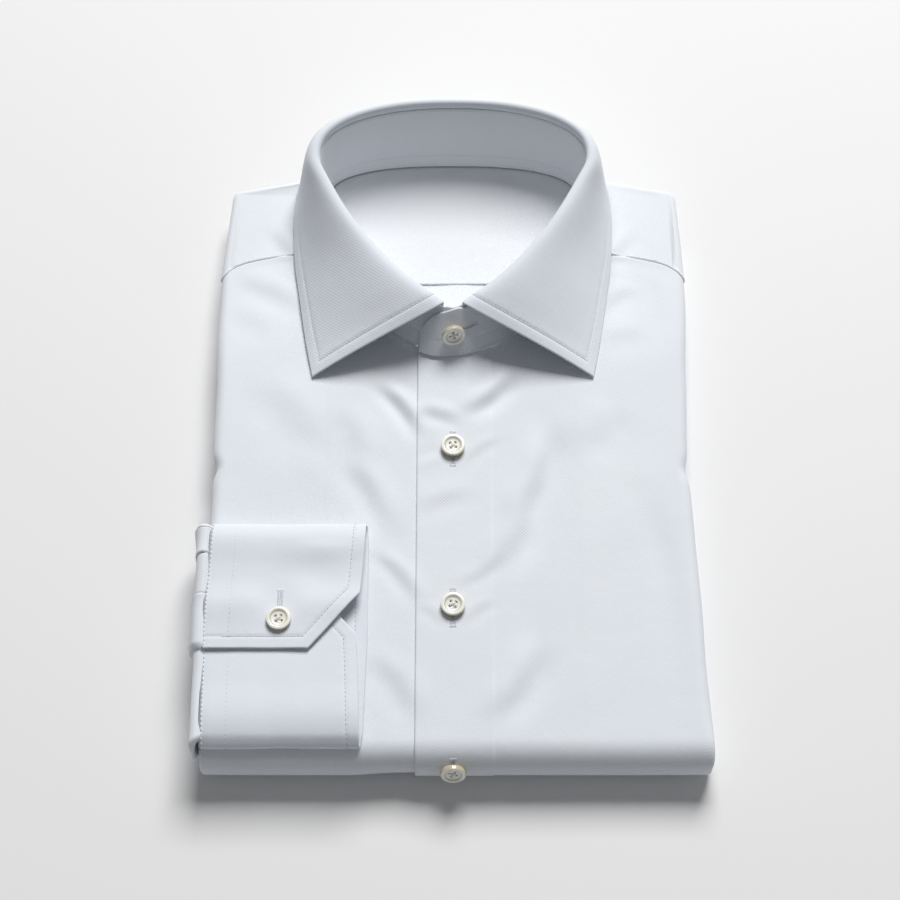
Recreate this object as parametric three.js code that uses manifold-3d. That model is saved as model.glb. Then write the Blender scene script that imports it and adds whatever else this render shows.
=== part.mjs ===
// A folded dress shirt, front up, in millimetres. +Z is up, +Y runs from the near fold to the collar,
// X = 0 is the line of the front buttons and Z = 0 is the surface that it lies on.
// The sides are folded behind, and the tail is folded up behind the chest over the near fold, so there
// are two layers: the chest layer on top and the tail layer below. The right cuff lies on the chest.
import * as THREE from "three";
import { mergeVertices } from "three/addons/utils/BufferGeometryUtils.js";
import Module from "manifold-3d";

const wasm = await Module();
wasm.setup();

// ---- driving dimensions ----

const cloth = { wall: 1.3, gap: 0.3, bandWall: 2, leafWall: 1.6, cuffWall: 1.6 };

const stack = {
  height: 26, // over the near fold
  tailLayer: 11.5, // thickness of the layer that lies on the table
  layerRoom: 3.4, // between the two layers, where the sleeve goes in
  foldY: -157.5, // axis of the near fold
  flank: 8, // how far a front runs back in behind its side fold
  seamJoinAt: 5.33, // station of the neck ring where the yoke's front seam meets it
};
stack.chestFloor = stack.tailLayer + stack.layerRoom;

// Height of the chest layer's top face.
const heightRows = [
  { y: -160, z: 26 },
  { y: 40, z: 26 },
  { y: 60, z: 25.7 },
  { y: 83, z: 24.6 },
  { y: 118, z: 22.9 },
  { y: 160, z: 21.2 },
  { y: 190, z: 20.8 },
];

// Half width of the folded body on each side.
const sideRows = [
  { y: -172, left: 120.5, right: 125 },
  { y: -136, left: 121, right: 123.9 },
  { y: -73, left: 121.6, right: 121.9 },
  { y: -14, left: 122, right: 120.1 },
  { y: 41, left: 123.2, right: 121.5 },
  { y: 72, left: 124, right: 122.6 },
  { y: 106, left: 123.1, right: 123.3 },
  { y: 160, left: 119.4, right: 121.2 },
];

// The yoke's front seam, from the neckline out to the side fold.
const seamRows = [
  { x: 60, y: 119.8 },
  { x: 65.9, y: 118.9 },
  { x: 86, y: 117.2 },
  { x: 104, y: 113.6 },
  { x: 115, y: 109.6 },
  { x: 123, y: 102.5 },
];

// The far edge over the shoulders, and the shirt tail's curved hem below it.
const farRows = [
  { x: 0, y: 183.5, hemY: 166 },
  { x: 30, y: 181, hemY: 164 },
  { x: 60, y: 174.3, hemY: 156 },
  { x: 83, y: 167.4, hemY: 146 },
  { x: 112, y: 161, hemY: 134 },
  { x: 123, y: 158.6, hemY: 131 },
];

// Half of the neck ring, from the centre back (at 0) to the centre front (at 10): the seam where the
// band stands on the shirt, and the crest where the leaf folds over.
const neckRows = [
  { at: 0, baseX: 0, baseY: 175.8, crestX: 0, crestY: 188.5, crestZ: 61.5 },
  { at: 1, baseX: 26, baseY: 175, crestX: 28.5, crestY: 186.6, crestZ: 61.4 },
  { at: 2, baseX: 48, baseY: 171.5, crestX: 53, crestY: 179.6, crestZ: 61 },
  { at: 3, baseX: 64, baseY: 163.5, crestX: 67.5, crestY: 168.6, crestZ: 60.4 },
  { at: 4, baseX: 70.5, baseY: 147, crestX: 71, crestY: 155.4, crestZ: 59.2 },
  { at: 5, baseX: 68, baseY: 126, crestX: 65, crestY: 141.6, crestZ: 57.4 },
  { at: 6, baseX: 60, baseY: 104, crestX: 54, crestY: 122, crestZ: 55.3 },
  { at: 7, baseX: 48, baseY: 84, crestX: 40.8, crestY: 104, crestZ: 53 },
  { at: 8, baseX: 34, baseY: 67.5, crestX: 26.6, crestY: 88.3, crestZ: 51 },
  { at: 9, baseX: 17, baseY: 57, crestX: 12.6, crestY: 77.6, crestZ: 48.6 },
  { at: 10, baseX: 0, baseY: 53, crestX: 0, crestY: 70.5, crestZ: 46 },
];
const neckRowCount = 10;

// Outer edge of the leaf against the same stations: centre back to point.
const leafRows = [
  { at: 0, x: 0, y: 199.5, z: 16.5 },
  { at: 1, x: 30, y: 196.5, z: 17 },
  { at: 2, x: 55, y: 189, z: 18.4 },
  { at: 3, x: 73, y: 177, z: 21 },
  { at: 4, x: 82.5, y: 161, z: 23.4 },
  { at: 5, x: 85, y: 144, z: 24.2 },
  { at: 6, x: 84.8, y: 126, z: 24.9 },
  { at: 7, x: 83.5, y: 107, z: 25.6 },
  { at: 8, x: 80.3, y: 85, z: 26.4 },
  { at: 9, x: 76.5, y: 60, z: 27 },
  { at: 9.62, x: 72.5, y: 38.9, z: 27.3 },
];

const collar = {
  rollRadius: 2.2, // of the leaf where it folds over
  backDrop: 5.5, // from the crest down to the seam with the band, at the back
  frontDrop: 3.6, // at the points
  tabDrop: 1.4, // and in the middle, where the band shows between the leaf's two ends
  tabStart: 9.74, // station where it begins to rise there
  seamRoom: 0.9, // between the band's top edge and the leaf's
  leafEnd: 9.62, // station where the leaf stops, either side of the centre front
  lapEnd: 10.95, // the buttonhole end of the band goes this far past the centre front
  tuckEnd: 10.8, // the button end goes this far under it
  lapShift: 1.2, // each end moves out or in by this, so that they lie on each other
  lapHeight: 0.43, // height of the rounded end against the band's own height
  lapCorner: 10.25, // station where its rounded corner begins
  leafRise: 7, // how far the leaf runs outwards before it turns down
  leafCrown: 4, // crown of the leaf's fall
};

// The inner yoke and the back panel, seen in the neck.
const neckFloor = { z: 18.5, seamY: 101.2, seamHalf: 56.5, joinAt: 5.6, nearY: 62, inside: 2.5 };

const placket = { edgeX: -18.2, tuckX: 8, settleX: -60 };

// The right cuff: sections along the band from the end that is buttoned over, round both folds, to the
// end that lies under it. right is where the open edge runs at that section.
const cuffLeft = -120.6;
const cuffRows = [
  { y: -114.8, z: 33.6, right: -69.5 },
  { y: -101, z: 33.7, right: -57.7 },
  { y: -86, z: 33.4, right: -45.2 },
  { y: -66, z: 32.7, right: -44 },
  { y: -54, z: 32.2, right: -43.1 },
  { y: -49.2, z: 31.3, right: -42.8 },
  { y: -47.5, z: 29.7, right: -42.4 },
  { y: -49.2, z: 27.9, right: -42 },
  { y: -54, z: 27.2, right: -41.7 },
  { y: -105, z: 27.2, right: -41.4 },
  { y: -156, z: 27.2, right: -42.8 },
  { y: -161.4, z: 27.8, right: -43.6 },
  { y: -163.2, z: 29.5, right: -44 },
  { y: -161.2, z: 31, right: -44.2 },
  { y: -155, z: 31.5, right: -44.3 },
  { y: -130, z: 31.3, right: -45.2 },
  { y: -106.2, z: 31.3, right: -46.8 },
  { y: -97.3, z: 31.3, right: -53.7 },
  { y: -84, z: 31.3, right: -66 },
];

// The sleeve leaves the cuff, goes round the side fold and in between the two layers. tilt turns its
// outward direction from straight up, over the side, to straight down.
const sleeveRows = [
  { x: -121, z: 27, tilt: 0, thick: 5.4, topY: -50, bottomY: -161 },
  { x: -122.3, z: 26, tilt: 48, thick: 4.9, topY: -47.5, bottomY: -162.3 },
  { x: -122.5, z: 22.5, tilt: 90, thick: 4.4, topY: -46.4, bottomY: -162.8 },
  { x: -122.1, z: 18.6, tilt: 112, thick: 4, topY: -46.8, bottomY: -162.4 },
  { x: -119.6, z: 15.4, tilt: 155, thick: 3.2, topY: -47.5, bottomY: -160.5 },
  { x: -114, z: 14.6, tilt: 180, thick: 2.8, topY: -48, bottomY: -157 },
  { x: -108, z: 14.6, tilt: 180, thick: 2.8, topY: -48, bottomY: -155 },
];
const sleeveWall = 1;

const button = {
  radius: 6,
  thickness: 2.7,
  dishRadius: 3.7,
  dishDepth: 0.9,
  rim: 0.7,
  holeRadius: 0.75,
  holeOffset: 1.35,
  seat: 0.35, // above the cloth
};
const frontButtonY = [-1.4, -89.1];
const foldButtonTurn = 75; // degrees round the near fold
const cuffButtonAt = { x: -84.6, y: -99.2, top: 34.5 };
const collarButtonHeight = 0.5; // up the band

// Soft troughs that the pull of the buttons leaves in the fronts.
const creaseRows = [
  { fromX: -20, fromY: 14, toX: -40, toY: 42, width: 7, depth: 0.9 },
  { fromX: 6, fromY: 14, toX: 20, toY: 42, width: 6, depth: 0.8 },
  { fromX: 12, fromY: -76, toX: 50, toY: 14, width: 9, depth: 1.1 },
  { fromX: -20, fromY: -74, toX: -49, toY: -17, width: 8, depth: 0.9 },
  { fromX: 16, fromY: -156, toX: 42, toY: -120, width: 7, depth: 1 },
  { fromX: 100, fromY: -43, toX: 100, toY: -112, width: 12, depth: 0.6 },
];

const paleBlue = { color: 0xdfe4ee, roughness: 0.85, metalness: 0 };
const pearl = { color: 0xe9e4d2, roughness: 0.3, metalness: 0 };

// ---- curves through the tables ----

const radians = THREE.MathUtils.degToRad;
const mix = THREE.MathUtils.lerp;
const rise = THREE.MathUtils.smoothstep;

// A smooth curve through one column of a table: cubic pieces whose slopes come from the rows each side.
function through(rows, key, column) {
  const slope = (i) => {
    const before = rows[Math.max(i - 1, 0)];
    const after = rows[Math.min(i + 1, rows.length - 1)];
    return (after[column] - before[column]) / (after[key] - before[key]);
  };
  return (at) => {
    const place = THREE.MathUtils.clamp(at, rows[0][key], rows.at(-1)[key]);
    const i = Math.max(0, Math.min(rows.length - 2, rows.findIndex((row) => row[key] >= place) - 1));
    const [a, b] = [rows[i], rows[i + 1]];
    const span = b[key] - a[key];
    const t = (place - a[key]) / span;
    const rest = 1 - t;
    return (
      a[column] * (1 + 2 * t) * rest * rest +
      b[column] * (3 - 2 * t) * t * t +
      slope(i) * span * t * rest * rest -
      slope(i + 1) * span * rest * t * t
    );
  };
}

// The mirror image of a half table is put before it, so that its curves cross the centre smoothly.
function bothSides(rows, key, flipped) {
  const mirror = (row) => ({ ...row, ...Object.fromEntries(flipped.map((name) => [name, -row[name]])) });
  return [...rows.slice(1).reverse().map((row) => mirror({ ...row, [key]: -row[key] })), ...rows];
}

// The neck ring closes on itself, so its table runs on past the centre front on both sides.
function closedRing(half) {
  const around = bothSides(half, "at", ["baseX", "crestX"]);
  const turn = 2 * neckRowCount;
  const beyond = around.slice(1, 4).map((row) => ({ ...row, at: row.at + turn }));
  const before = around.slice(-4, -1).map((row) => ({ ...row, at: row.at - turn }));
  return [...before, ...around, ...beyond];
}

const topZ = through(heightRows, "y", "z");
const leftHalf = through(sideRows, "y", "left");
const rightHalf = through(sideRows, "y", "right");
const farRowsBoth = bothSides(farRows, "x", []);
const farY = through(farRowsBoth, "x", "y");
const hemY = through(farRowsBoth, "x", "hemY");
const seamY = through(seamRows, "x", "y");
const ringRows = closedRing(neckRows);
const ring = Object.fromEntries(
  ["baseX", "baseY", "crestX", "crestY", "crestZ"].map((name) => [name, through(ringRows, "at", name)]),
);
const leafEdgeRows = bothSides(leafRows, "at", ["x"]);
const leafEdge = Object.fromEntries(["x", "y", "z"].map((name) => [name, through(leafEdgeRows, "at", name)]));
const frontNeckRows = neckRows
  .slice(5)
  .reverse()
  .map((row) => ({ x: row.baseX, y: row.baseY }));
const necklineY = through(bothSides(frontNeckRows, "x", []), "x", "y");
const necklineX = through(frontNeckRows, "y", "x");

// ---- building solids ----

function gridTriangles(rows, columns, first, closedColumns) {
  const triangles = [];
  const reach = closedColumns ? columns : columns - 1;
  for (let r = 0; r < rows - 1; r++)
    for (let c = 0; c < reach; c++) {
      const a = first + r * columns + c;
      const b = first + r * columns + ((c + 1) % columns);
      triangles.push(a, b, a + columns, b, b + columns, a + columns);
    }
  return triangles;
}

function geometryOf(points, triangles) {
  const geometry = new THREE.BufferGeometry();
  geometry.setAttribute(
    "position",
    new THREE.Float32BufferAttribute(
      points.flatMap((p) => [p.x, p.y, p.z]),
      3,
    ),
  );
  geometry.setIndex(triangles);
  return facingOut(geometry);
}

// Turns a closed geometry's faces round if it is inside out.
function facingOut(geometry) {
  const { position } = geometry.attributes;
  const index = geometry.index.array;
  const [a, b, c] = [new THREE.Vector3(), new THREE.Vector3(), new THREE.Vector3()];
  let volume = 0;
  for (let i = 0; i < index.length; i += 3) {
    a.fromBufferAttribute(position, index[i]);
    b.fromBufferAttribute(position, index[i + 1]);
    c.fromBufferAttribute(position, index[i + 2]);
    volume += a.dot(b.cross(c));
  }
  if (volume < 0) geometry.setIndex([...index].reverse());
  return geometry;
}

// A wall of cloth: the outer and the inner grid of points, joined round their edges. Each grid is a list
// of rows of points.
function wall(outer, inner) {
  const rows = outer.length;
  const columns = outer[0].length;
  const count = rows * columns;
  const triangles = gridTriangles(rows, columns, 0, false);
  const back = gridTriangles(rows, columns, count, false).reverse();
  const rim = [];
  for (let c = 0; c < columns; c++) rim.push(c);
  for (let r = 1; r < rows; r++) rim.push(r * columns + columns - 1);
  for (let c = columns - 2; c >= 0; c--) rim.push((rows - 1) * columns + c);
  for (let r = rows - 2; r > 0; r--) rim.push(r * columns);
  const edge = rim.flatMap((a, i) => {
    const b = rim[(i + 1) % rim.length];
    return [b, a, a + count, b, a + count, b + count];
  });
  return geometryOf([...outer.flat(), ...inner.flat()], [...triangles, ...back, ...edge]);
}

// A tube of cloth: its rows are closed loops, and both its ends are open.
function tubeWall(outer, inner) {
  const rows = outer.length;
  const columns = outer[0].length;
  const count = rows * columns;
  const triangles = [
    ...gridTriangles(rows, columns, 0, true),
    ...gridTriangles(rows, columns, count, true).reverse(),
  ];
  for (const [row, turned] of [
    [0, true],
    [rows - 1, false],
  ])
    for (let c = 0; c < columns; c++) {
      const a = row * columns + c;
      const b = row * columns + ((c + 1) % columns);
      const ends = [a, b, a + count, b, b + count, a + count];
      triangles.push(...(turned ? ends.reverse() : ends));
    }
  return geometryOf([...outer.flat(), ...inner.flat()], triangles);
}

// A closed solid through rings of points, with a fan over each end.
function loft(rings) {
  const columns = rings[0].length;
  const middle = (loop) => loop.reduce((sum, p) => sum.add(p), new THREE.Vector3()).divideScalar(loop.length);
  const points = [...rings.flat(), middle(rings[0]), middle(rings.at(-1))];
  const start = rings.length * columns;
  const triangles = gridTriangles(rings.length, columns, 0, true);
  for (let c = 0; c < columns; c++) {
    const next = (c + 1) % columns;
    const last = (rings.length - 1) * columns;
    triangles.push(start, next, c, start + 1, last + c, last + next);
  }
  return geometryOf(points, triangles);
}

// Normals of a grid of points, from its neighbours along rows and columns.
function gridNormals(grid) {
  const at = (r, c) => grid[Math.max(0, Math.min(grid.length - 1, r))][Math.max(0, Math.min(grid[0].length - 1, c))];
  return grid.map((row, r) =>
    row.map((_, c) => {
      const along = new THREE.Vector3().subVectors(at(r, c + 1), at(r, c - 1));
      const across = new THREE.Vector3().subVectors(at(r + 1, c), at(r - 1, c));
      return along.cross(across).normalize();
    }),
  );
}

const movedOut = (grid, normals, distance) =>
  grid.map((row, r) => row.map((p, c) => p.clone().addScaledVector(normals[r][c], distance)));

function toManifold(geometry) {
  const bare = new THREE.BufferGeometry();
  bare.setAttribute("position", geometry.getAttribute("position"));
  bare.setIndex(geometry.index);
  const merged = facingOut(mergeVertices(bare, 1e-4));
  return new wasm.Manifold(
    new wasm.Mesh({
      numProp: 3,
      vertProperties: merged.attributes.position.array,
      triVerts: new Uint32Array(merged.index.array),
    }),
  );
}

function fromManifold(solid) {
  const { vertProperties, triVerts } = solid.getMesh();
  const geometry = new THREE.BufferGeometry();
  geometry.setAttribute("position", new THREE.BufferAttribute(vertProperties, 3));
  geometry.setIndex(new THREE.BufferAttribute(triVerts, 1));
  return geometry;
}

const shirt = new THREE.Group();

function addPiece(name, geometry, look) {
  geometry.deleteAttribute("normal");
  geometry.computeVertexNormals();
  const mesh = new THREE.Mesh(geometry, new THREE.MeshStandardMaterial(look));
  mesh.name = name;
  shirt.add(mesh);
  return mesh;
}

// ---- the folded body ----

// How far a trough sinks the cloth: a bell across its line that fades at both ends. The placket, where
// the fronts lap, is stiffer and stays flat.
function creaseDepth(x, y) {
  const besideLap = rise(Math.max(placket.edgeX - x, x - placket.tuckX), 0, 8);
  return creaseRows.reduce((sum, { fromX, fromY, toX, toY, width, depth }) => {
    const length = Math.hypot(toX - fromX, toY - fromY);
    const along = ((x - fromX) * (toX - fromX) + (y - fromY) * (toY - fromY)) / length;
    const across = ((x - fromX) * (toY - fromY) - (y - fromY) * (toX - fromX)) / length;
    const ends = rise(along, 0, length / 3) * (1 - rise(along, (2 * length) / 3, length));
    return sum + depth * ends * besideLap * Math.exp(-((across / width) ** 2));
  }, 0);
}

// The button side's front lies one cloth lower beside the placket, and comes level further out.
const underLap = (x) => {
  const under = x < placket.tuckX + 1;
  return under ? (cloth.wall + cloth.gap) * rise(x, placket.settleX, placket.edgeX - 8) : 0;
};

// One station of the body's path: the chest layer from the neck to the near fold, the fold itself and
// the tail layer back to the hem. up is the outward direction in the YZ plane.
const chestHalf = (y) => (topZ(y) - stack.chestFloor) / 2;
const nearMiddle = stack.height / 2;
function station(part, y, turn = 0) {
  const tailHalf = stack.tailLayer / 2;
  const foldHalf = (stack.height - stack.chestFloor) / 2;
  if (part === "chest") return { y, z: stack.chestFloor + chestHalf(y), upY: 0, upZ: 1, half: chestHalf(y), widthAt: y };
  if (part === "tail") return { y, z: tailHalf, upY: 0, upZ: -1, half: tailHalf, widthAt: y };
  const angle = radians(turn);
  const half = mix(foldHalf, tailHalf, turn / 180);
  const radius = nearMiddle - half;
  return {
    y: stack.foldY - radius * Math.sin(angle),
    z: nearMiddle + radius * Math.cos(angle),
    upY: -Math.sin(angle),
    upZ: Math.cos(angle),
    half,
    widthAt: stack.foldY - radius * Math.sin(angle),
  };
}

// A point of the body at a station. side is 1 on the wearer's left and -1 on the right; column is a
// place across it: on the face, round the side fold, or on the flank behind it. inset moves it inwards.
const joinX = ring.baseX(stack.seamJoinAt);
const seamSideY = seamRows.at(-1).y;
const seamFlatX = rightHalf(seamSideY) - chestHalf(seamSideY);
function bodyPoint(side, column, place, inset, extra = 0) {
  const { y, z, upY, upZ, half, widthAt } = place;
  const width = (side > 0 ? rightHalf : leftHalf)(widthAt);
  const flat = width - half;
  const reach = half - inset;
  let x;
  let out;
  if (column.part === "face" || column.part === "outer") {
    x = side * (column.part === "face" ? column.x : mix(joinX, flat, column.share));
    const lap = side < 0 || extra > 0 ? underLap(x) : 0;
    out = reach - lap - creaseDepth(x, y) * Math.max(0, upZ);
  } else if (column.part === "turn") {
    const angle = radians(column.turn);
    x = side * (flat + reach * Math.sin(angle));
    out = reach * Math.cos(angle);
  } else {
    x = side * (flat - column.in);
    out = -reach;
  }
  return new THREE.Vector3(x, y + upY * out, z + upZ * out);
}

const face = (x) => ({ part: "face", x });
const turned = (turn) => ({ part: "turn", turn });
const sideTurns = [36, 72, 108, 144, 180];
const seamShares = [0.25, 0.5, 0.75, 1]; // from the neckline out to the side fold

// The columns of one front, from its placket edge round the side fold. Where the fronts lap, their
// columns fall on the same lines, so that they keep their distance.
const lapX = 6;
const columnXs = {
  1: [placket.edgeX, -lapX, placket.tuckX, 19, 32, 46, 56, 62],
  [-1]: [-placket.tuckX, lapX, -placket.edgeX, 26, 38, 50, 62],
};
function frontColumns(side) {
  return [
    ...columnXs[side].map(face),
    ...[0, ...seamShares].map((share) => ({ part: "outer", share })),
    ...sideTurns.map(turned),
    { part: "flank", in: stack.flank },
  ];
}

function nominalX(column) {
  if (column.part === "face") return column.x;
  if (column.part === "outer") return mix(joinX, seamFlatX, column.share);
  return turnX(column.part === "turn" ? column.turn : 180);
}

// How far out the side fold has got where the yoke's seam crosses it.
const turnX = (turn) => mix(seamFlatX, seamRows.at(-1).x, Math.sin(radians(Math.min(turn, 90))));

// The front's top edge: the neckline inside, the yoke's seam outside.
const topEdge = (x) => (Math.abs(x) < joinX ? necklineY(x) : seamY(Math.abs(x)));

function frontGrid(side, inset) {
  const columns = frontColumns(side);
  const shares = (count) => Array.from({ length: count }, (_, i) => i / count);
  const foldTurns = [0, 25, 50, 75, 100, 125, 150, 180];
  const places = [
    ...shares(13).map((share) => (x) => station("chest", mix(topEdge(x), stack.foldY, share))),
    ...foldTurns.map((turn) => () => station("fold", 0, turn)),
    ...shares(5).map((share) => (x) => station("tail", mix(stack.foldY, hemY(x), share + 0.2))),
  ];
  return places.map((place) => columns.map((column) => bodyPoint(side, column, place(nominalX(column)), inset)));
}

function front(side) {
  return wall(frontGrid(side, 0), frontGrid(side, cloth.wall));
}

// ---- yoke ----

// Plan outline of the yoke's fold line: up one side, across the shoulders and down the other side.
function shoulderOutline() {
  const startY = seamSideY + 2.5 * cloth.gap;
  const sideLine = (side, ys) =>
    ys.map((y) => new THREE.Vector2(side * (side > 0 ? rightHalf : leftHalf)(y), y));
  const farLine = [-108, -84, -60, -36, -12, 12, 36, 60, 84, 108].map((x) => new THREE.Vector2(x, farY(x)));
  const path = new THREE.Path();
  const up = sideLine(-1, [startY, 120, 137, 151]);
  path.moveTo(up[0].x, up[0].y).splineThru(up.slice(1));
  path.quadraticCurveTo(-119.6, farY(119), farLine[0].x, farLine[0].y).splineThru(farLine.slice(1));
  const down = sideLine(1, [153, 137, 120, startY]);
  path.quadraticCurveTo(121.2, farY(119), down[0].x, down[0].y).splineThru(down.slice(1));
  return path;
}

const yokeOutline = shoulderOutline();
const ringPoint = (at) => new THREE.Vector2(ring.baseX(at), ring.baseY(at));

// A point of the yoke: share runs along the outline, place runs from under the fold to the neckline.
function yokePoint(share, place, inset) {
  const edge = yokeOutline.getPointAt(share);
  const tangent = yokeOutline.getTangentAt(share);
  const outward = new THREE.Vector2(-tangent.y, tangent.x);
  const bow = 1 - rise(Math.min(share, 1 - share), 0, 0.16);
  if (place.part === "turn") {
    edge.y += (seamY(turnX(place.turn)) - seamSideY) * bow;
    const half = chestHalf(edge.y);
    const angle = radians(place.turn);
    const plan = edge.addScaledVector(outward, (half - inset) * Math.sin(angle) - half);
    return new THREE.Vector3(plan.x, plan.y, stack.chestFloor + half + (half - inset) * Math.cos(angle));
  }
  const start = edge.clone().addScaledVector(outward, -chestHalf(edge.y));
  const neck = ringPoint(mix(-stack.seamJoinAt, stack.seamJoinAt, share));
  const plan = start.lerp(neck, place.share);
  plan.y += (seamY(Math.abs(plan.x)) + cloth.gap - plan.y) * bow;
  return new THREE.Vector3(plan.x, plan.y, topZ(plan.y) - inset);
}

function yoke() {
  const stops = 30;
  const shares = Array.from({ length: stops + 1 }, (_, i) => i / stops);
  const places = [
    ...[0, ...sideTurns].reverse().map(turned),
    ...seamShares.map((share) => ({ part: "face", share })),
  ];
  const grid = (inset) => shares.map((share) => places.map((place) => yokePoint(share, place, inset)));
  return wall(grid(0), grid(cloth.wall));
}

// ---- inside the neck ----

// The inner yoke: from its seam with the back panel up to the ring, dished a little below the band.
function yokeLining() {
  const grid = (inset) =>
    [0, 0.2, 0.45, 0.7, 0.87, 1].map((share) =>
      [-1, -0.8, -0.55, -0.28, 0, 0.28, 0.55, 0.8, 1].map((across) => {
        const seam = new THREE.Vector2(across * neckFloor.seamHalf, neckFloor.seamY);
        const edge = ringPoint(across * neckFloor.joinAt);
        const centre = new THREE.Vector2(0, 125);
        edge.addScaledVector(centre.sub(edge).normalize(), 0.7);
        const plan = seam.lerp(edge, share);
        const edgeZ = topZ(plan.y) - cloth.gap;
        const lift = Math.max(share, Math.abs(across)) ** 6;
        return new THREE.Vector3(plan.x, plan.y, mix(neckFloor.z, edgeZ, lift) - inset);
      }),
    );
  return wall(grid(0), grid(cloth.wall));
}

// The back panel below that seam, which goes on under the fronts' neckline.
function back() {
  const grid = (inset) =>
    [0, 0.33, 0.66, 1].map((share) =>
      [-1, -0.5, 0, 0.5, 1].map((across) => {
        const y = mix(neckFloor.nearY, neckFloor.seamY - cloth.gap, share);
        const half = necklineX(y) - neckFloor.inside;
        return new THREE.Vector3(across * half, y, neckFloor.z - inset);
      }),
    );
  return wall(grid(0), grid(cloth.wall));
}

// ---- hidden layers ----

// The folded-away cloth: one solid whose chest and tail layers stand apart at the edges.
function innerLayers() {
  const inset = cloth.wall + 2 * cloth.gap;
  const lapEnds = [placket.tuckX + 0.7, placket.tuckX + 2.7];
  const faceXs = [-106, -84, -62, -50, -38, -26, placket.edgeX, -lapX, ...lapEnds, 19, 32, 46, 62, 84, 106];
  const ringAt = (place) => {
    const loop = [];
    const column = (x) => {
      const side = x < 0 ? -1 : 1;
      return bodyPoint(side, face(Math.abs(x)), place, inset, 1);
    };
    loop.push(...faceXs.map(column));
    loop.push(...[0, ...sideTurns].map((turn) => bodyPoint(1, turned(turn), place, inset)));
    loop.push(...[0, ...sideTurns].reverse().map((turn) => bodyPoint(-1, turned(turn), place, inset)));
    return loop;
  };
  const rings = [
    ...[112, 90, 70, 50, 30, 10, -10, -30, -50, -75, -100, -130].map((y) => ringAt(station("chest", y))),
    ...[0, 30, 60, 90, 120, 150, 180].map((turn) => ringAt(station("fold", 0, turn))),
    ...[-120, -60, 0, 60, 124].map((y) => ringAt(station("tail", y))),
  ];
  const sweep = toManifold(loft(rings));

  // The shoulders' end of the chest layer.
  const shoulder = slab({
    outline: [
      ...[0, 0.04, 0.08, 0.12, 0.15, 0.17, 0.2, 0.3, 0.4, 0.5, 0.6, 0.7, 0.8, 0.83, 0.85, 0.88, 0.92, 0.96, 1].map((share) => {
        const edge = yokeOutline.getPointAt(share);
        const tangent = yokeOutline.getTangentAt(share);
        return edge.addScaledVector(new THREE.Vector2(-tangent.y, tangent.x), -inset - 4.5);
      }),
    ],
    nearY: 98,
    bevel: 1.8,
    lowZ: () => stack.chestFloor + inset,
    highZ: (y) => topZ(y) - inset - 0.1,
  });

  // The tail's end, in two steps: the fronts' tails below, the back's tail above.
  const tailEnd = (recess) => {
    const half = 116.5 - recess;
    const xs = [-1, -0.86, -0.68, -0.5, -0.25, 0, 0.25, 0.5, 0.68, 0.86, 1];
    return xs.map((share) => new THREE.Vector2(share * half, hemY(share * half) - recess));
  };
  const lowerTail = slab({
    outline: tailEnd(2.2),
    nearY: 100,
    bevel: 1.6,
    lowZ: () => inset + cloth.wall + cloth.gap,
    highZ: () => 6.5,
  });
  const upperTail = slab({
    outline: tailEnd(6),
    nearY: 100,
    bevel: 1.8,
    lowZ: () => 5,
    highZ: () => stack.tailLayer - inset,
  });

  // What joins the two layers behind the edges.
  const webHalf = 100;
  const web = slab({
    outline: [new THREE.Vector2(-webHalf, 122), new THREE.Vector2(webHalf, 122)],
    nearY: stack.foldY - 2,
    bevel: 0,
    lowZ: () => stack.tailLayer - 4,
    highZ: () => stack.chestFloor + 2,
  });

  // The neck's hollow, cut down to just below the inner yoke.
  const stops = 36;
  const neckOutline = Array.from({ length: stops }, (_, i) => {
    const at = mix(-neckRowCount, neckRowCount, i / stops);
    const point = ringPoint(at);
    const centre = new THREE.Vector2(0, 120);
    return point.addScaledVector(point.clone().sub(centre).normalize(), 1.2);
  });
  const floorZ = neckFloor.z - cloth.wall - cloth.gap;
  const hollow = toManifold(
    new THREE.ExtrudeGeometry(new THREE.Shape(neckOutline), { depth: 20, bevelEnabled: false }).translate(0, 0, floorZ),
  );

  const joined = [shoulder, lowerTail, upperTail, web].reduce((sum, piece) => sum.add(piece), sweep);
  return fromManifold(joined.subtract(hollow));
}

// A slab with rounded edges: the outline is closed by a straight near edge at nearY, and its faces
// follow two heights along Y.
function slab({ outline, nearY, bevel, lowZ, highZ }) {
  const points = [...outline, new THREE.Vector2(outline.at(-1).x, nearY), new THREE.Vector2(outline[0].x, nearY)];
  const shape = new THREE.Shape(points);
  const depth = 1;
  const settings = bevel
    ? { depth, bevelThickness: bevel, bevelSize: bevel, bevelOffset: -0.01, bevelSegments: 2 }
    : { depth, bevelEnabled: false };
  const geometry = new THREE.ExtrudeGeometry(shape, settings);
  const { position } = geometry.attributes;
  for (let i = 0; i < position.count; i++) {
    const y = position.getY(i);
    const share = (position.getZ(i) + bevel) / (depth + 2 * bevel);
    position.setZ(i, mix(lowZ(y), highZ(y), share));
  }
  const bare = new THREE.BufferGeometry();
  bare.setAttribute("position", position);
  return toManifold(mergeVertices(bare, 1e-4));
}

// ---- collar ----

// The frame at a station of the neck ring: the seam it stands on, the crest, the direction down the
// band and the direction out of it.
function neckFrame(at) {
  const baseY = ring.baseY(at);
  const base = new THREE.Vector3(ring.baseX(at), baseY, topZ(baseY) + cloth.gap);
  const crest = new THREE.Vector3(ring.crestX(at), ring.crestY(at), ring.crestZ(at));
  const down = base.clone().sub(crest).normalize();
  const step = 0.05;
  const along = new THREE.Vector3(
    ring.crestX(at + step) - ring.crestX(at - step),
    ring.crestY(at + step) - ring.crestY(at - step),
    ring.crestZ(at + step) - ring.crestZ(at - step),
  );
  const out = along.cross(down).normalize();
  return { base, crest, down, out };
}

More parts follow.
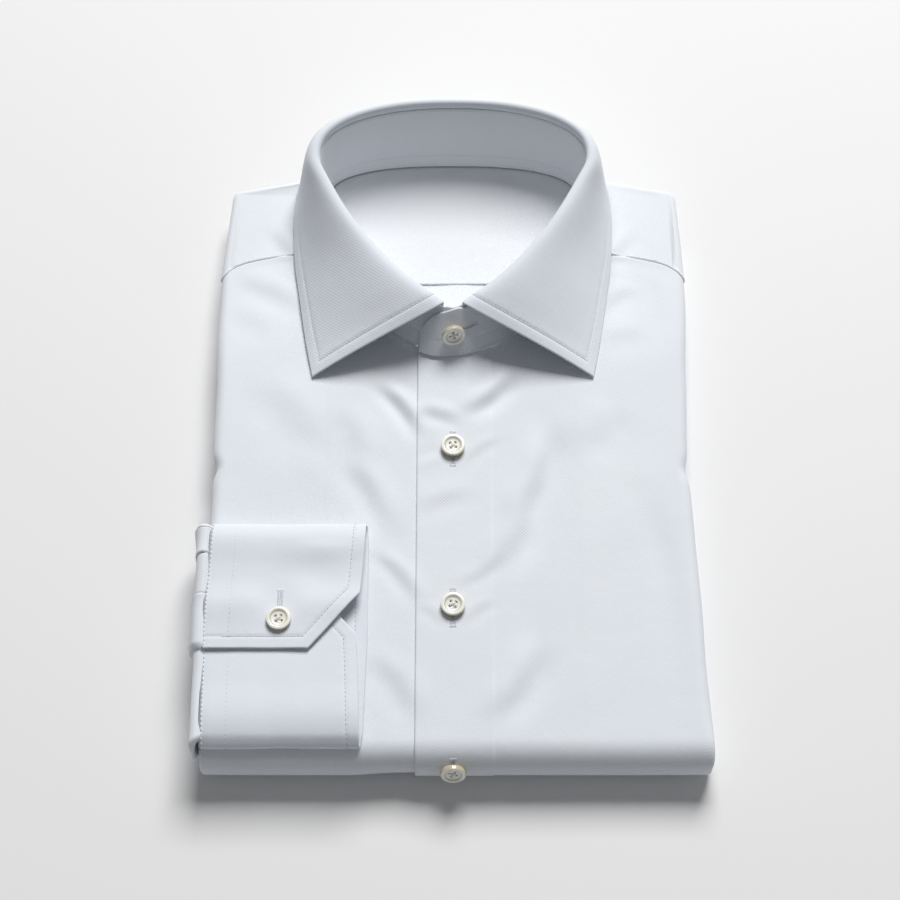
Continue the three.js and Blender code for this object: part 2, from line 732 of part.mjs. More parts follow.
function dropAt(at) {
  const drop = mix(collar.backDrop, collar.frontDrop, rise(Math.abs(at), 5, 9.3));
  const fromFront = Math.abs(neckRowCount - Math.abs(at));
  return mix(collar.tabDrop, drop, rise(fromFront, 0, neckRowCount - collar.tabStart));
}

function bandPoint(at, share, offset) {
  const { base, crest, down, out } = neckFrame(at);
  const top = crest.clone().addScaledVector(down, dropAt(at));
  const past = Math.max(0, at - collar.lapCorner) / (collar.lapEnd - collar.lapCorner);
  const height = collar.lapHeight + (1 - collar.lapHeight) * Math.sqrt(1 - Math.min(1, past) ** 2);
  const lap = Math.sign(at) * collar.lapShift * rise(Math.abs(at), 7, 9);
  const point = base.lerp(top, share * height).addScaledVector(out, lap + offset);
  point.z = Math.max(point.z, topZ(point.y) + cloth.gap + share * 0.5);
  return point;
}

function collarBand() {
  const { lapEnd, tuckEnd, tabStart } = collar;
  const evenly = (from, to, steps) => Array.from({ length: steps }, (_, i) => mix(from, to, i / steps));
  const stations = [
    ...evenly(-tuckEnd, -tabStart, 4),
    ...evenly(-tabStart, tabStart, 40),
    ...evenly(tabStart, lapEnd, 5),
    lapEnd,
  ];
  const grid = (offset) => stations.map((at) => [0, 0.33, 0.67, 1].map((share) => bandPoint(at, share, offset)));
  return wall(grid(cloth.bandWall / 2), grid(-cloth.bandWall / 2));
}

// The leaf's middle surface: up from the band's seam, over the roll and down to its outer edge.
function leafPoint(at, place) {
  const { crest, down, out } = neckFrame(at);
  const { rollRadius, leafRise, leafCrown, seamRoom } = collar;
  if (place.part === "seam") return crest.addScaledVector(down, dropAt(at) - seamRoom);
  const middle = crest.clone().addScaledVector(down, rollRadius).addScaledVector(out, rollRadius);
  if (place.part === "roll") {
    const angle = radians(place.turn);
    return middle
      .addScaledVector(out, -rollRadius * Math.cos(angle))
      .addScaledVector(down, -rollRadius * Math.sin(angle));
  }
  const top = middle.addScaledVector(down, -rollRadius);
  const edge = new THREE.Vector3(leafEdge.x(at), leafEdge.y(at), leafEdge.z(at));
  const bend = top.clone().addScaledVector(out, leafRise);
  const settle = edge.clone().lerp(top, 0.4);
  settle.z += leafCrown;
  return new THREE.CubicBezierCurve3(top, bend, settle, edge).getPoint(place.share);
}

function collarLeaf() {
  const steps = 38;
  const stations = Array.from({ length: steps + 1 }, (_, i) => mix(-collar.leafEnd, collar.leafEnd, i / steps));
  const places = [
    { part: "seam" },
    { part: "roll", turn: 10 },
    { part: "roll", turn: 50 },
    { part: "roll", turn: 90 },
    ...[0.12, 0.26, 0.42, 0.6, 0.8, 1].map((share) => ({ part: "fall", share })),
  ];
  const middle = stations.map((at) => places.map((place) => leafPoint(at, place)));
  const normals = gridNormals(middle);
  return wall(movedOut(middle, normals, cloth.leafWall / 2), movedOut(middle, normals, -cloth.leafWall / 2));
}

// ---- cuff and sleeve ----

function cuff() {
  const middle = cuffRows.map(({ y, z, right }) =>
    [0, 0.25, 0.5, 0.75, 1].map((share) => new THREE.Vector3(mix(cuffLeft, right, share), y, z)),
  );
  const straight = cuffRows.map(({ y, z }) => [0, 1].map((share) => new THREE.Vector3(share, y, z)));
  const normals = gridNormals(straight).map((row) => middle[0].map(() => row[0]));
  return wall(movedOut(middle, normals, cloth.cuffWall / 2), movedOut(middle, normals, -cloth.cuffWall / 2));
}

// A flattened loop of the sleeve at one section: two straight layers with round folds.
function sleeveLoop({ x, z, tilt, thick, topY, bottomY }, inset) {
  const angle = radians(tilt);
  const outward = new THREE.Vector3(-Math.sin(angle), 0, Math.cos(angle));
  const half = thick / 2;
  const reach = half - inset;
  const middle = new THREE.Vector3(x, 0, z).addScaledVector(outward, half);
  const ends = [
    { y: topY - half, turns: [0, 45, 90, 135, 180] },
    { y: bottomY + half, turns: [180, 225, 270, 315, 360] },
  ];
  return ends.flatMap(({ y, turns }) =>
    turns.map((turn) => {
      const point = middle.clone().addScaledVector(outward, reach * Math.cos(radians(turn)));
      point.y = y + reach * Math.sin(radians(turn));
      return point;
    }),
  );
}

function sleeve() {
  const columns = ["x", "z", "tilt", "thick", "topY", "bottomY"];
  const rows = sleeveRows.map((row, at) => ({ ...row, at }));
  const steps = 12;
  const sections = Array.from({ length: steps + 1 }, (_, i) => {
    const at = (i / steps) * (rows.length - 1);
    return Object.fromEntries(columns.map((name) => [name, through(rows, "at", name)(at)]));
  });
  return tubeWall(
    sections.map((section) => sleeveLoop(section, 0)),
    sections.map((section) => sleeveLoop(section, sleeveWall)),
  );
}

// ---- buttons ----

// A dished button with a rolled rim and four holes, standing on its own origin.
function buttonGeometry() {
  const { radius, thickness, dishRadius, dishDepth, rim, holeRadius, holeOffset } = button;
  const profile = [
    [0, 0],
    [radius - 1, 0],
    [radius, rim],
    [radius, thickness - rim],
    [radius - rim, thickness],
    [dishRadius + rim, thickness],
    [dishRadius, thickness - dishDepth],
    [0, thickness - dishDepth],
  ].map(([x, y]) => new THREE.Vector2(x, y));
  let solid = toManifold(indexed(new THREE.LatheGeometry(profile, 24).rotateX(Math.PI / 2)));
  for (const [sideX, sideY] of [
    [1, 1],
    [1, -1],
    [-1, 1],
    [-1, -1],
  ]) {
    const hole = new THREE.CylinderGeometry(holeRadius, holeRadius, 4 * thickness, 8).rotateX(Math.PI / 2);
    hole.translate(sideX * holeOffset, sideY * holeOffset, 0);
    solid = solid.subtract(toManifold(indexed(hole)));
  }
  return fromManifold(solid);
}

function indexed(geometry) {
  const bare = new THREE.BufferGeometry();
  bare.setAttribute("position", geometry.getAttribute("position"));
  bare.setIndex(geometry.index);
  return mergeVertices(bare, 1e-4);
}

const upwards = new THREE.Vector3(0, 0, 1);
const buttonShape = buttonGeometry();

function addButton(name, place, outward) {
  const mesh = addPiece(name, buttonShape.clone(), pearl);
  mesh.position.copy(place).addScaledVector(outward, button.seat);
  mesh.quaternion.setFromUnitVectors(upwards, outward);
}

// ---- the shirt ----

addPiece("inner_layers", innerLayers(), paleBlue);
addPiece("front_left", front(1), paleBlue);
addPiece("front_right", front(-1), paleBlue);
addPiece("yoke", yoke(), paleBlue);
addPiece("yoke_lining", yokeLining(), paleBlue);
addPiece("back", back(), paleBlue);
addPiece("collar_band", collarBand(), paleBlue);
addPiece("collar_leaf", collarLeaf(), paleBlue);
addPiece("sleeve_right", sleeve(), paleBlue);
addPiece("cuff_right", cuff(), paleBlue);

frontButtonY.forEach((y, i) => {
  addButton(`button_front_${i + 1}`, new THREE.Vector3(0, y, topZ(y)), upwards);
});
const foldOut = new THREE.Vector3(0, -Math.sin(radians(foldButtonTurn)), Math.cos(radians(foldButtonTurn)));
const foldAxis = new THREE.Vector3(0, stack.foldY, stack.height / 2);
addButton("button_front_3", foldAxis.addScaledVector(foldOut, stack.height / 2), foldOut);
addButton("button_cuff", new THREE.Vector3(cuffButtonAt.x, cuffButtonAt.y, cuffButtonAt.top), upwards);
const lapAt = neckRowCount;
const bandFace = bandPoint(lapAt, collarButtonHeight, cloth.bandWall / 2);
addButton("button_collar", bandFace, neckFrame(lapAt).out);

export default shirt;
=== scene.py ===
# A folded dress shirt, front up. Shapes are worked out in millimetres and turned into metres at the end.
# +X is the wearer's left, +Y runs from the near fold to the collar and +Z is up from the table.
import math

import bpy
import numpy as np
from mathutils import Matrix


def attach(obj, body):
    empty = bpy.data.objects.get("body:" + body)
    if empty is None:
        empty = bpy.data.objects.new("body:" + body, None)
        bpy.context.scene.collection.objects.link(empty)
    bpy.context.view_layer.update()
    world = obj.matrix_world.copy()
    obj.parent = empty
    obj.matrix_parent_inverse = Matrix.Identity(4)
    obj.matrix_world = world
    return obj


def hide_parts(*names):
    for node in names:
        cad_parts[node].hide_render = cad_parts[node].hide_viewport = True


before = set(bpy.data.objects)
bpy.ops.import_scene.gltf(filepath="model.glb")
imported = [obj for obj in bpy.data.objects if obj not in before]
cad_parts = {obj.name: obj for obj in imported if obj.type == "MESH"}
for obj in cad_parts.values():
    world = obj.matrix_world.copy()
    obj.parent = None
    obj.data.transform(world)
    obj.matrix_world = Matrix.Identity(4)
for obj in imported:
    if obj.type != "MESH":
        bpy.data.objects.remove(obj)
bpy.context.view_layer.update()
metre = 0.001  # one millimetre
print("frame loaded")

# the camera looks down on the shirt from its near side; degrees and millimetres
camera = {"lens": 85, "sensor": 36, "elevation": 62, "distance": 1083, "target": (-1.5, 0, 20)}
cameraData = bpy.data.cameras.new("camera")
cameraData.lens = camera["lens"]
cameraData.sensor_width = camera["sensor"]
cameraData.clip_start = 0.05
cameraObject = bpy.data.objects.new("camera", cameraData)
bpy.context.scene.collection.objects.link(cameraObject)
lookUp = math.radians(camera["elevation"])
cameraObject.location = [
    metre * camera["target"][0],
    metre * (camera["target"][1] - camera["distance"] * math.cos(lookUp)),
    metre * (camera["target"][2] + camera["distance"] * math.sin(lookUp)),
]
cameraObject.rotation_euler = (math.pi / 2 - lookUp, 0, 0)
bpy.context.scene.camera = cameraObject

# curves and small functions
pi = np.pi


def mix(a, b, share):  # a where share is 0, b where it is 1
    return a + (b - a) * share


def rise(x, low, high):  # 0 below low, 1 above high, and a smooth S between
    t = np.clip((x - low) / (high - low), 0, 1)
    return t * t * (3 - 2 * t)


def bell(x, width):  # 1 at the middle, falling off as exp(-(x / width)^2)
    return np.exp(-((x / width) ** 2))


def through(rows, place, column=1):
    # a smooth curve through the rows (key, value, ...): cubic pieces, with slopes from the rows each side
    table = np.array(rows, float)
    keys, values = table[:, 0], table[:, column]
    last = len(keys) - 1
    before, after = np.maximum(np.arange(last + 1) - 1, 0), np.minimum(np.arange(last + 1) + 1, last)
    slopes = (values[after] - values[before]) / (keys[after] - keys[before])
    place = np.clip(place, keys[0], keys[-1])
    i = np.clip(np.searchsorted(keys, place, side="right") - 1, 0, last - 1)
    span = keys[i + 1] - keys[i]
    t = (place - keys[i]) / span
    rest = 1 - t
    ends = values[i] * (1 + 2 * t) * rest**2 + values[i + 1] * (3 - 2 * t) * t**2
    return ends + slopes[i] * span * t * rest**2 - slopes[i + 1] * span * rest * t**2


def curve(rows, place, columns):  # a smooth curve of points: through() for each of the columns
    return np.stack([through(rows, place, k) for k in columns], -1)


def xyz(x, y, z):  # points from their coordinates, spread to one shape
    return np.stack(np.broadcast_arrays(x, y, z), -1)


def least(*distances):  # the smallest of several grids
    return np.minimum.reduce(np.broadcast_arrays(*distances))


def squarer(wave, power):  # a wave with its sign kept and its size raised to a power below 1
    return np.sign(wave) * np.abs(wave) ** power


def unit(vectors):  # each vector divided by its own length
    return vectors / np.maximum(np.linalg.norm(vectors, axis=-1, keepdims=True), 1e-9)


def gridNormals(points):  # the cross product of the steps along the rows and along the columns
    along = np.gradient(points, axis=1)
    across = np.gradient(points, axis=0)
    return unit(np.cross(along, across))


def normalsUp(points, row, column):  # the normals, turned over together if they look down at one point
    normals = gridNormals(points)
    return normals * np.sign(normals[row, column, 2])


def closeTo(edges, spread, end):
    # rising values from 0 to 1 that crowd towards the ends named in edges
    steps = np.linspace(0, 1, 200)
    weight = np.ones_like(steps)
    for edge in edges:
        weight = weight + end * bell(steps - edge, spread)
    total = np.cumsum(weight)
    return (total - total[0]) / (total[-1] - total[0])


def arcLength(points, axis=0):  # how far each point is along its row or column of the grid
    step = np.linalg.norm(np.diff(points, axis=axis), axis=-1)
    start = np.zeros_like(np.take(step, [0], axis=axis))
    return np.concatenate([start, np.cumsum(step, axis=axis)], axis=axis)


def pointsAt(where, keys, table):  # the rows of a table of points at places between its keys
    return np.stack([np.interp(where, keys, table[:, k]) for k in range(table.shape[1])], -1)


def ripple(x, y, seed, size):
    # soft uneven cloth: a sum of six long sine waves in random directions, between about -1 and 1
    chance = np.random.default_rng(seed)
    draws = chance.uniform(0, pi, 6), chance.uniform(0, 2 * pi, 6), chance.uniform(0.6, 1.6, 6)
    total = 0
    for turn, phase, stretch in zip(*draws):
        wave = (x * np.cos(turn) + y * np.sin(turn)) * 2 * pi * stretch / size
        total = total + np.sin(wave + phase)
    return total / 3.5


# meshes from grids of points
def meshFrom(name, points, faces, uv=None, attributes=None, material=None, smooth=True, body="root"):
    # a mesh from points in millimetres and rows of vertex numbers, all rows as long as each other
    mesh = bpy.data.meshes.new(name)
    faces = np.asarray(faces)
    mesh.vertices.add(len(points))
    mesh.vertices.foreach_set("co", (np.asarray(points, float) * metre).ravel())
    mesh.loops.add(faces.size)
    mesh.loops.foreach_set("vertex_index", faces.ravel())
    mesh.polygons.add(len(faces))
    mesh.polygons.foreach_set("loop_start", np.arange(len(faces)) * faces.shape[1])
    mesh.update(calc_edges=True)
    mesh.validate()
    mesh.polygons.foreach_set("use_smooth", np.full(len(faces), smooth))
    if uv is not None:
        layer = mesh.uv_layers.new(name="cut")
        layer.data.foreach_set("uv", np.asarray(uv, float)[faces.ravel()].ravel())
    for key, values in (attributes or {}).items():
        attribute = mesh.attributes.new(key, "FLOAT", "POINT")
        attribute.data.foreach_set("value", np.asarray(values, np.float32).ravel())
    if material:
        mesh.materials.append(material)
    piece = bpy.data.objects.new(name, mesh)
    bpy.context.scene.collection.objects.link(piece)
    if body:
        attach(piece, body)
    return piece


def gridFaces(rows, columns, turned=False):  # the quads of a grid of points, as rows of four indices
    start = np.arange(rows - 1)[:, None] * columns + np.arange(columns - 1)
    quad = np.stack([start, start + 1, start + columns + 1, start + columns], -1).reshape(-1, 4)
    return quad[:, ::-1] if turned else quad


def clothSheet(name, points, uv, thickness, material, outward=(0, 0, 1)):
    # a single layer of cloth: the grid is its outer face, and Solidify gives it its thickness inwards
    facing = (gridNormals(points) * outward).sum(-1).mean()
    faces = gridFaces(*points.shape[:2], turned=facing < 0)
    piece = meshFrom(name, points.reshape(-1, 3), faces, uv.reshape(-1, 2), material=material)
    wall = piece.modifiers.new("thickness", "SOLIDIFY")
    wall.thickness = thickness * metre
    wall.offset = -1
    return piece


def plumpGrid(middle, half, normals):
    # a padded layer: the middle surface moved half out and half in, sharing its points round the rim, where
    # half is made nothing. keep says which of the doubled points are used
    rows, columns = middle.shape[:2]
    half = np.pad(half[1:-1, 1:-1], 1)
    top, low = middle + normals * half[..., None], middle - normals * half[..., None]
    count = rows * columns
    lowIndex = np.arange(count).reshape(rows, columns)
    lowIndex[1:-1, 1:-1] += count
    topFaces = gridFaces(rows, columns)
    lowFaces = lowIndex.ravel()[topFaces][:, ::-1]
    keep = np.unique(np.concatenate([topFaces.ravel(), lowFaces.ravel()]))
    renumber = np.zeros(2 * count, int)
    renumber[keep] = np.arange(len(keep))
    points = np.concatenate([top.reshape(-1, 3), low.reshape(-1, 3)])[keep]
    return points, renumber[np.concatenate([topFaces, lowFaces])], keep


def plumpShell(name, middle, half, uv, edge):
    # plumpGrid made a crisp piece, with the same cut and distance from the edge on both faces
    points, faces, keep = plumpGrid(middle, half, gridNormals(middle))
    both = {"edge": np.tile(edge.ravel(), 2)[keep]}
    return meshFrom(name, points, faces, np.tile(uv.reshape(-1, 2), (2, 1))[keep], both, crispCloth)


def roundEdge(distance, half):
    # half thickness against the distance from a free edge: a quarter circle, then level
    reach = 1 - np.clip(distance / half, 0, 1)
    return half * np.sqrt(1 - reach**2)


def ringFaces(count, sides):  # the quads between rings of points, one ring after another
    ring = np.arange(count * sides).reshape(count, sides)
    after = np.roll(ring, -1, axis=1)
    return np.stack([ring[:-1], after[:-1], after[1:], ring[1:]], -1).reshape(-1, 4)


def joined(parts):  # several sets of points and faces as one
    firsts = np.cumsum([0] + [len(points) for points, _ in parts[:-1]])
    faces = [own + first for (_, own), first in zip(parts, firsts)]
    return np.concatenate([points for points, _ in parts]), np.concatenate(faces)


capsule = np.array([  # along, above and across a stitch at each of its rings
    (-0.5, -0.34, 0, 0.34, 0.5), (-0.9, 0.45, 1, 0.45, -0.9), (0.35, 0.95, 1, 0.95, 0.35),
])[..., None, None]


def stitchPoints(path, normals, pitch, length, radius, height, sides, offset=0.5, across=False):
    # small bent capsules along a path: each lies along or across it, arches up and dives in at both ends
    path, normals = np.asarray(path, float), np.asarray(normals, float)
    along = arcLength(path)
    count = max(1, int(along[-1] / pitch))
    at = (np.arange(count) + offset) * along[-1] / count
    ahead = np.minimum(at + 0.4, along[-1])
    centre, normal = pointsAt(at, along, path), unit(pointsAt(at, along, normals))
    tangent = unit(pointsAt(ahead, along, path) - pointsAt(np.maximum(ahead - 0.8, 0), along, path))
    side = unit(np.cross(tangent, normal))
    if across:
        tangent, side = side, tangent
    centre, normal, tangent, side = (v[:, None, None] for v in (centre, normal, tangent, side))
    ahead, lift, width = capsule
    turn = np.arange(sides)[:, None] * 2 * pi / sides
    ring = radius * width * (side * np.cos(turn) + normal * np.sin(turn))
    rings = centre + tangent * ahead * length + normal * lift * height + ring
    faces = ringFaces(len(width), sides)[None] + (np.arange(count) * len(width) * sides)[:, None, None]
    return rings.reshape(-1, 3), faces.reshape(-1, 4)


stitchShape = {"pitch": 2.3, "length": 1.65, "radius": 0.13, "height": 0.1, "sides": 5}
needle = {"length": 0.62, "radius": 0.24, "height": 0.02, "offset": 0.0, "sides": 4}
needleDepth = 0.06


def stitchPiece(name, paths, material, **changes):
    # all the stitches of one piece, joined into one mesh
    shape = {**stitchShape, **changes}
    made = [stitchPoints(*path[:2], **{**shape, **dict(*path[2:])}) for path in paths]
    piece = meshFrom(name, *joined(made), material=material)
    return piece


def stitchRow(name, paths):
    # a row of topstitching: light stitches, and between each and the next a small dark capsule sunk in the
    # cloth, painted shade for the needle hole
    holes = [(path - normals * needleDepth, normals) for path, normals in paths]
    stitches = stitchPiece(name, paths, stitchThread)
    return [stitches, stitchPiece(name + "Holes", holes, needleShade, **needle)]


def lineOn(points, normals, rowsAt, columnsAt, lift=0.0):
    # points of a grid at fractional row and column numbers, with their normals
    r, c = np.broadcast_arrays(np.asarray(rowsAt, float), np.asarray(columnsAt, float))
    i, j = (np.clip(at.astype(int), 0, size - 2) for at, size in zip((r, c), points.shape))
    u, v = (r - i)[:, None], (c - j)[:, None]
    blend = lambda g: mix(mix(g[i, j], g[i, j + 1], v), mix(g[i + 1, j], g[i + 1, j + 1], v), u)
    normal = unit(blend(normals))
    return blend(points) + normal * lift, normal


# materials: Shade lets a tree of nodes be written as sums
class Shade:
    # a socket with the arithmetic of Math nodes
    def __init__(self, tree, socket):
        self.tree, self.socket = tree, socket

    def math(self, operation, *others):
        inputs = {0: self, **dict(enumerate(others, 1))}
        return self.tree.node("ShaderNodeMath", {"operation": operation}, inputs)

    def __rsub__(self, other):
        return self.tree.node("ShaderNodeMath", {"operation": "SUBTRACT"}, {0: other, 1: self})

    __add__ = __radd__ = lambda self, other: self.math("ADD", other)
    __mul__ = __rmul__ = lambda self, other: self.math("MULTIPLY", other)
    __sub__ = lambda self, other: self.math("SUBTRACT", other)


class NodeTree:
    def __init__(self, name):
        self.material = bpy.data.materials.new(name)
        self.material.use_nodes = True
        self.nodes, self.links = self.material.node_tree.nodes, self.material.node_tree.links
        self.shader = next(n for n in self.nodes if n.type == "BSDF_PRINCIPLED")

    def put(self, socket, value):
        if isinstance(value, Shade):
            self.links.new(value.socket, socket)
        else:
            socket.default_value = value

    def node(self, kind, settings=None, inputs=None, output=0):
        made = self.nodes.new(kind)
        for key, value in (settings or {}).items():
            if key == "stops":
                ramp = made.color_ramp.elements
                while len(ramp) < len(value):
                    ramp.new(0.5)
                for stop, (place, colour) in zip(ramp, value):
                    stop.position, stop.color = place, (*colour, 1)
            else:
                setattr(made, key, value)
        for key, value in (inputs or {}).items():
            self.put(made.inputs[key], value)
        return Shade(self, made.outputs[output])

    def shape(self, **values):
        for key, value in values.items():
            self.put(self.shader.inputs[key.replace("_", " ")], value)

    def blend(self, factor, a, b):  # a colour between a and b
        a, b = ((*colour, 1) if isinstance(colour, tuple) else colour for colour in (a, b))
        return self.node("ShaderNodeMix", {"data_type": "RGBA"}, {0: factor, 6: a, 7: b}, output=2)

    def bump(self, height, strength, distance):
        inputs = {"Strength": strength, "Distance": distance, "Height": height}
        return self.node("ShaderNodeBump", {}, inputs)


shirting = {
    "colour": (0.85, 0.88, 0.92),
    "deepColour": (0.73, 0.77, 0.835),
    "roughness": 0.82,
    "sheen": 0.25,
    "twill": 1.15,  # millimetres from one diagonal rib to the next
    "twillTurn": 42,  # degrees of the ribs from the straight grain
    "ribHeight": 0.055,
    "crease": 0.35,
}


def clothMaterial(name, colour=None, channel=False, fineness=1.0):
    # twill in the cut's own coordinates: ribs are a sine across the diagonal, roughened by noise; channel
    # sinks a line of stitching at the distance kept in the edge attribute
    tree = NodeTree(name)
    cut = tree.node("ShaderNodeUVMap", {"uv_map": "cut"})
    split = tree.nodes.new("ShaderNodeSeparateXYZ")
    tree.links.new(cut.socket, split.inputs[0])
    u, v = Shade(tree, split.outputs[0]), Shade(tree, split.outputs[1])
    turn = math.radians(shirting["twillTurn"])
    noise = lambda scale, detail, rough=0.5: tree.node(
        "ShaderNodeTexNoise", {}, {"Vector": cut, "Scale": scale, "Detail": detail, "Roughness": rough}
    )
    wobble = noise(0.35, 2)
    diagonal = u * math.sin(turn) - v * math.cos(turn) + wobble * 0.35
    ribs = (diagonal * (2 * pi / shirting["twill"])).math("SINE")
    yarn = (v * (2 * pi / 0.42) + u * 1.7).math("SINE")
    slub = noise(1.9, 3, 0.6)
    patches = noise(0.012, 3)
    weave = ribs * 0.5 + yarn * 0.14 + slub * 1.1
    base = colour or shirting["colour"]
    shares = zip(base, shirting["deepColour"], shirting["colour"])
    deep = tuple(own * low / high for own, low, high in shares)
    tone = (weave * 0.2 + patches * 0.5 + 0.16).math("MINIMUM", 1)
    tree.shape(Base_Color=tree.blend(tone, deep, base))
    tree.shape(Roughness=shirting["roughness"] - slub * 0.1)
    tree.shape(Sheen_Weight=shirting["sheen"], Sheen_Roughness=0.45, Specular_IOR_Level=0.25)
    height = weave * (shirting["ribHeight"] * metre * fineness)
    rumple = noise(0.045, 4, 0.55)
    height = height + rumple * (shirting["crease"] * metre)
    if channel:
        edge = tree.node("ShaderNodeAttribute", {"attribute_name": "edge"}, output=2)
        away = edge - 6.0
        dip = (away * away * -1.1).math("EXPONENT")
        pucker = (noise(0.22, 2) - 0.5) * (away * away * -0.05).math("EXPONENT")
        height = height - dip * (0.12 * metre) + pucker * (0.25 * metre)
    tree.shape(Normal=tree.bump(height, 1.0, 1.0))
    return tree.material


def threadMaterial(name, colour):  # twisted thread: fine waves of a slightly deeper tone
    tree = NodeTree(name)
    place = tree.node("ShaderNodeTexCoord", output=3)
    twist = tree.node("ShaderNodeTexWave", {}, {"Vector": place, "Scale": 900, "Distortion": 2})
    tree.shape(Base_Color=tree.blend(twist * 0.6, tuple(0.9 * c for c in colour), colour))
    tree.shape(Roughness=0.6, Sheen_Weight=0.2, Normal=tree.bump(twist * (0.02 * metre), 1.0, 1.0))
    return tree.material


pearl = {
    "colour": (0.95, 0.94, 0.88),
    "deep": (0.90, 0.88, 0.79),
    "light": (0.97, 0.965, 0.93),
    # the shell's own colour at its side, also used as painted shade in the dish and the holes
    "side": (0.56, 0.49, 0.33),
    "roughness": 0.2,
}


def pearlMaterial():
    # shell: pale bands wander through a creamy ground, under a clear polish
    tree = NodeTree("pearlShell")
    place = tree.node("ShaderNodeTexCoord", output=3)
    noise = lambda **inputs: tree.node("ShaderNodeTexNoise", {}, {"Vector": place, **inputs})
    cloudy = noise(Scale=160, Detail=4, Distortion=1.5)
    grain = noise(Scale=700, Detail=2)
    bands = tree.node(
        "ShaderNodeValToRGB",
        {"stops": [(0.3, pearl["deep"]), (0.5, pearl["colour"]), (0.7, pearl["light"])]},
        {0: cloudy},
    )
    # towards the side colour by the attribute: the shell's own darker side, and painted shade in the dish
    # and the holes
    shade = tree.node("ShaderNodeAttribute", {"attribute_name": "shade"}, output=2)
    bands = tree.blend(shade, bands, pearl["side"])
    tree.shape(Base_Color=bands, Roughness=pearl["roughness"] + grain * 0.08, Coat_Weight=0.5)
    tree.shape(Coat_Roughness=0.08, Subsurface_Weight=0.15, Subsurface_Radius=(0.002, 0.0015, 0.001))
    tree.shape(Subsurface_Scale=1.0, Normal=tree.bump(cloudy * (0.03 * metre), 0.5, 1.0))
    return tree.material


bodyCloth = clothMaterial("shirtingTwill")
crispCloth = clothMaterial("shirtingInterlined", colour=(0.82, 0.853, 0.905), channel=True, fineness=0.6)
# a lighter copy of the collar cloth for the band's inner face: painted light, making the inside of the
# collar brighter than its lamps make it
bandInsidePaintedLight = clothMaterial("bandInsidePaintedLight", colour=(0.93, 0.945, 0.975), fineness=0.6)
# a lighter copy of the shirting for the inner yoke and the back panel: painted light, making the inside of
# the neck brighter than its lamps make it
liningPaintedLight = clothMaterial("yokeLiningPaintedLight", colour=(0.91, 0.925, 0.945))
# a dark cloth for the buttonhole slits: painted shade where the cut in the cloth falls dark
slitPaintedShade = clothMaterial("slitShade", colour=(0.42, 0.44, 0.50))
# dark thread for the capsules at the needle holes: painted shade
needleShade = threadMaterial("needleShade", (0.40, 0.42, 0.49))
stitchThread = threadMaterial("stitchThread", (0.86, 0.88, 0.92))
edgeThread = threadMaterial("edgeThread", (0.97, 0.975, 0.98))
buttonThread = threadMaterial("buttonThread", (0.86, 0.85, 0.80))
pearlShell = pearlMaterial()
print("materials made")

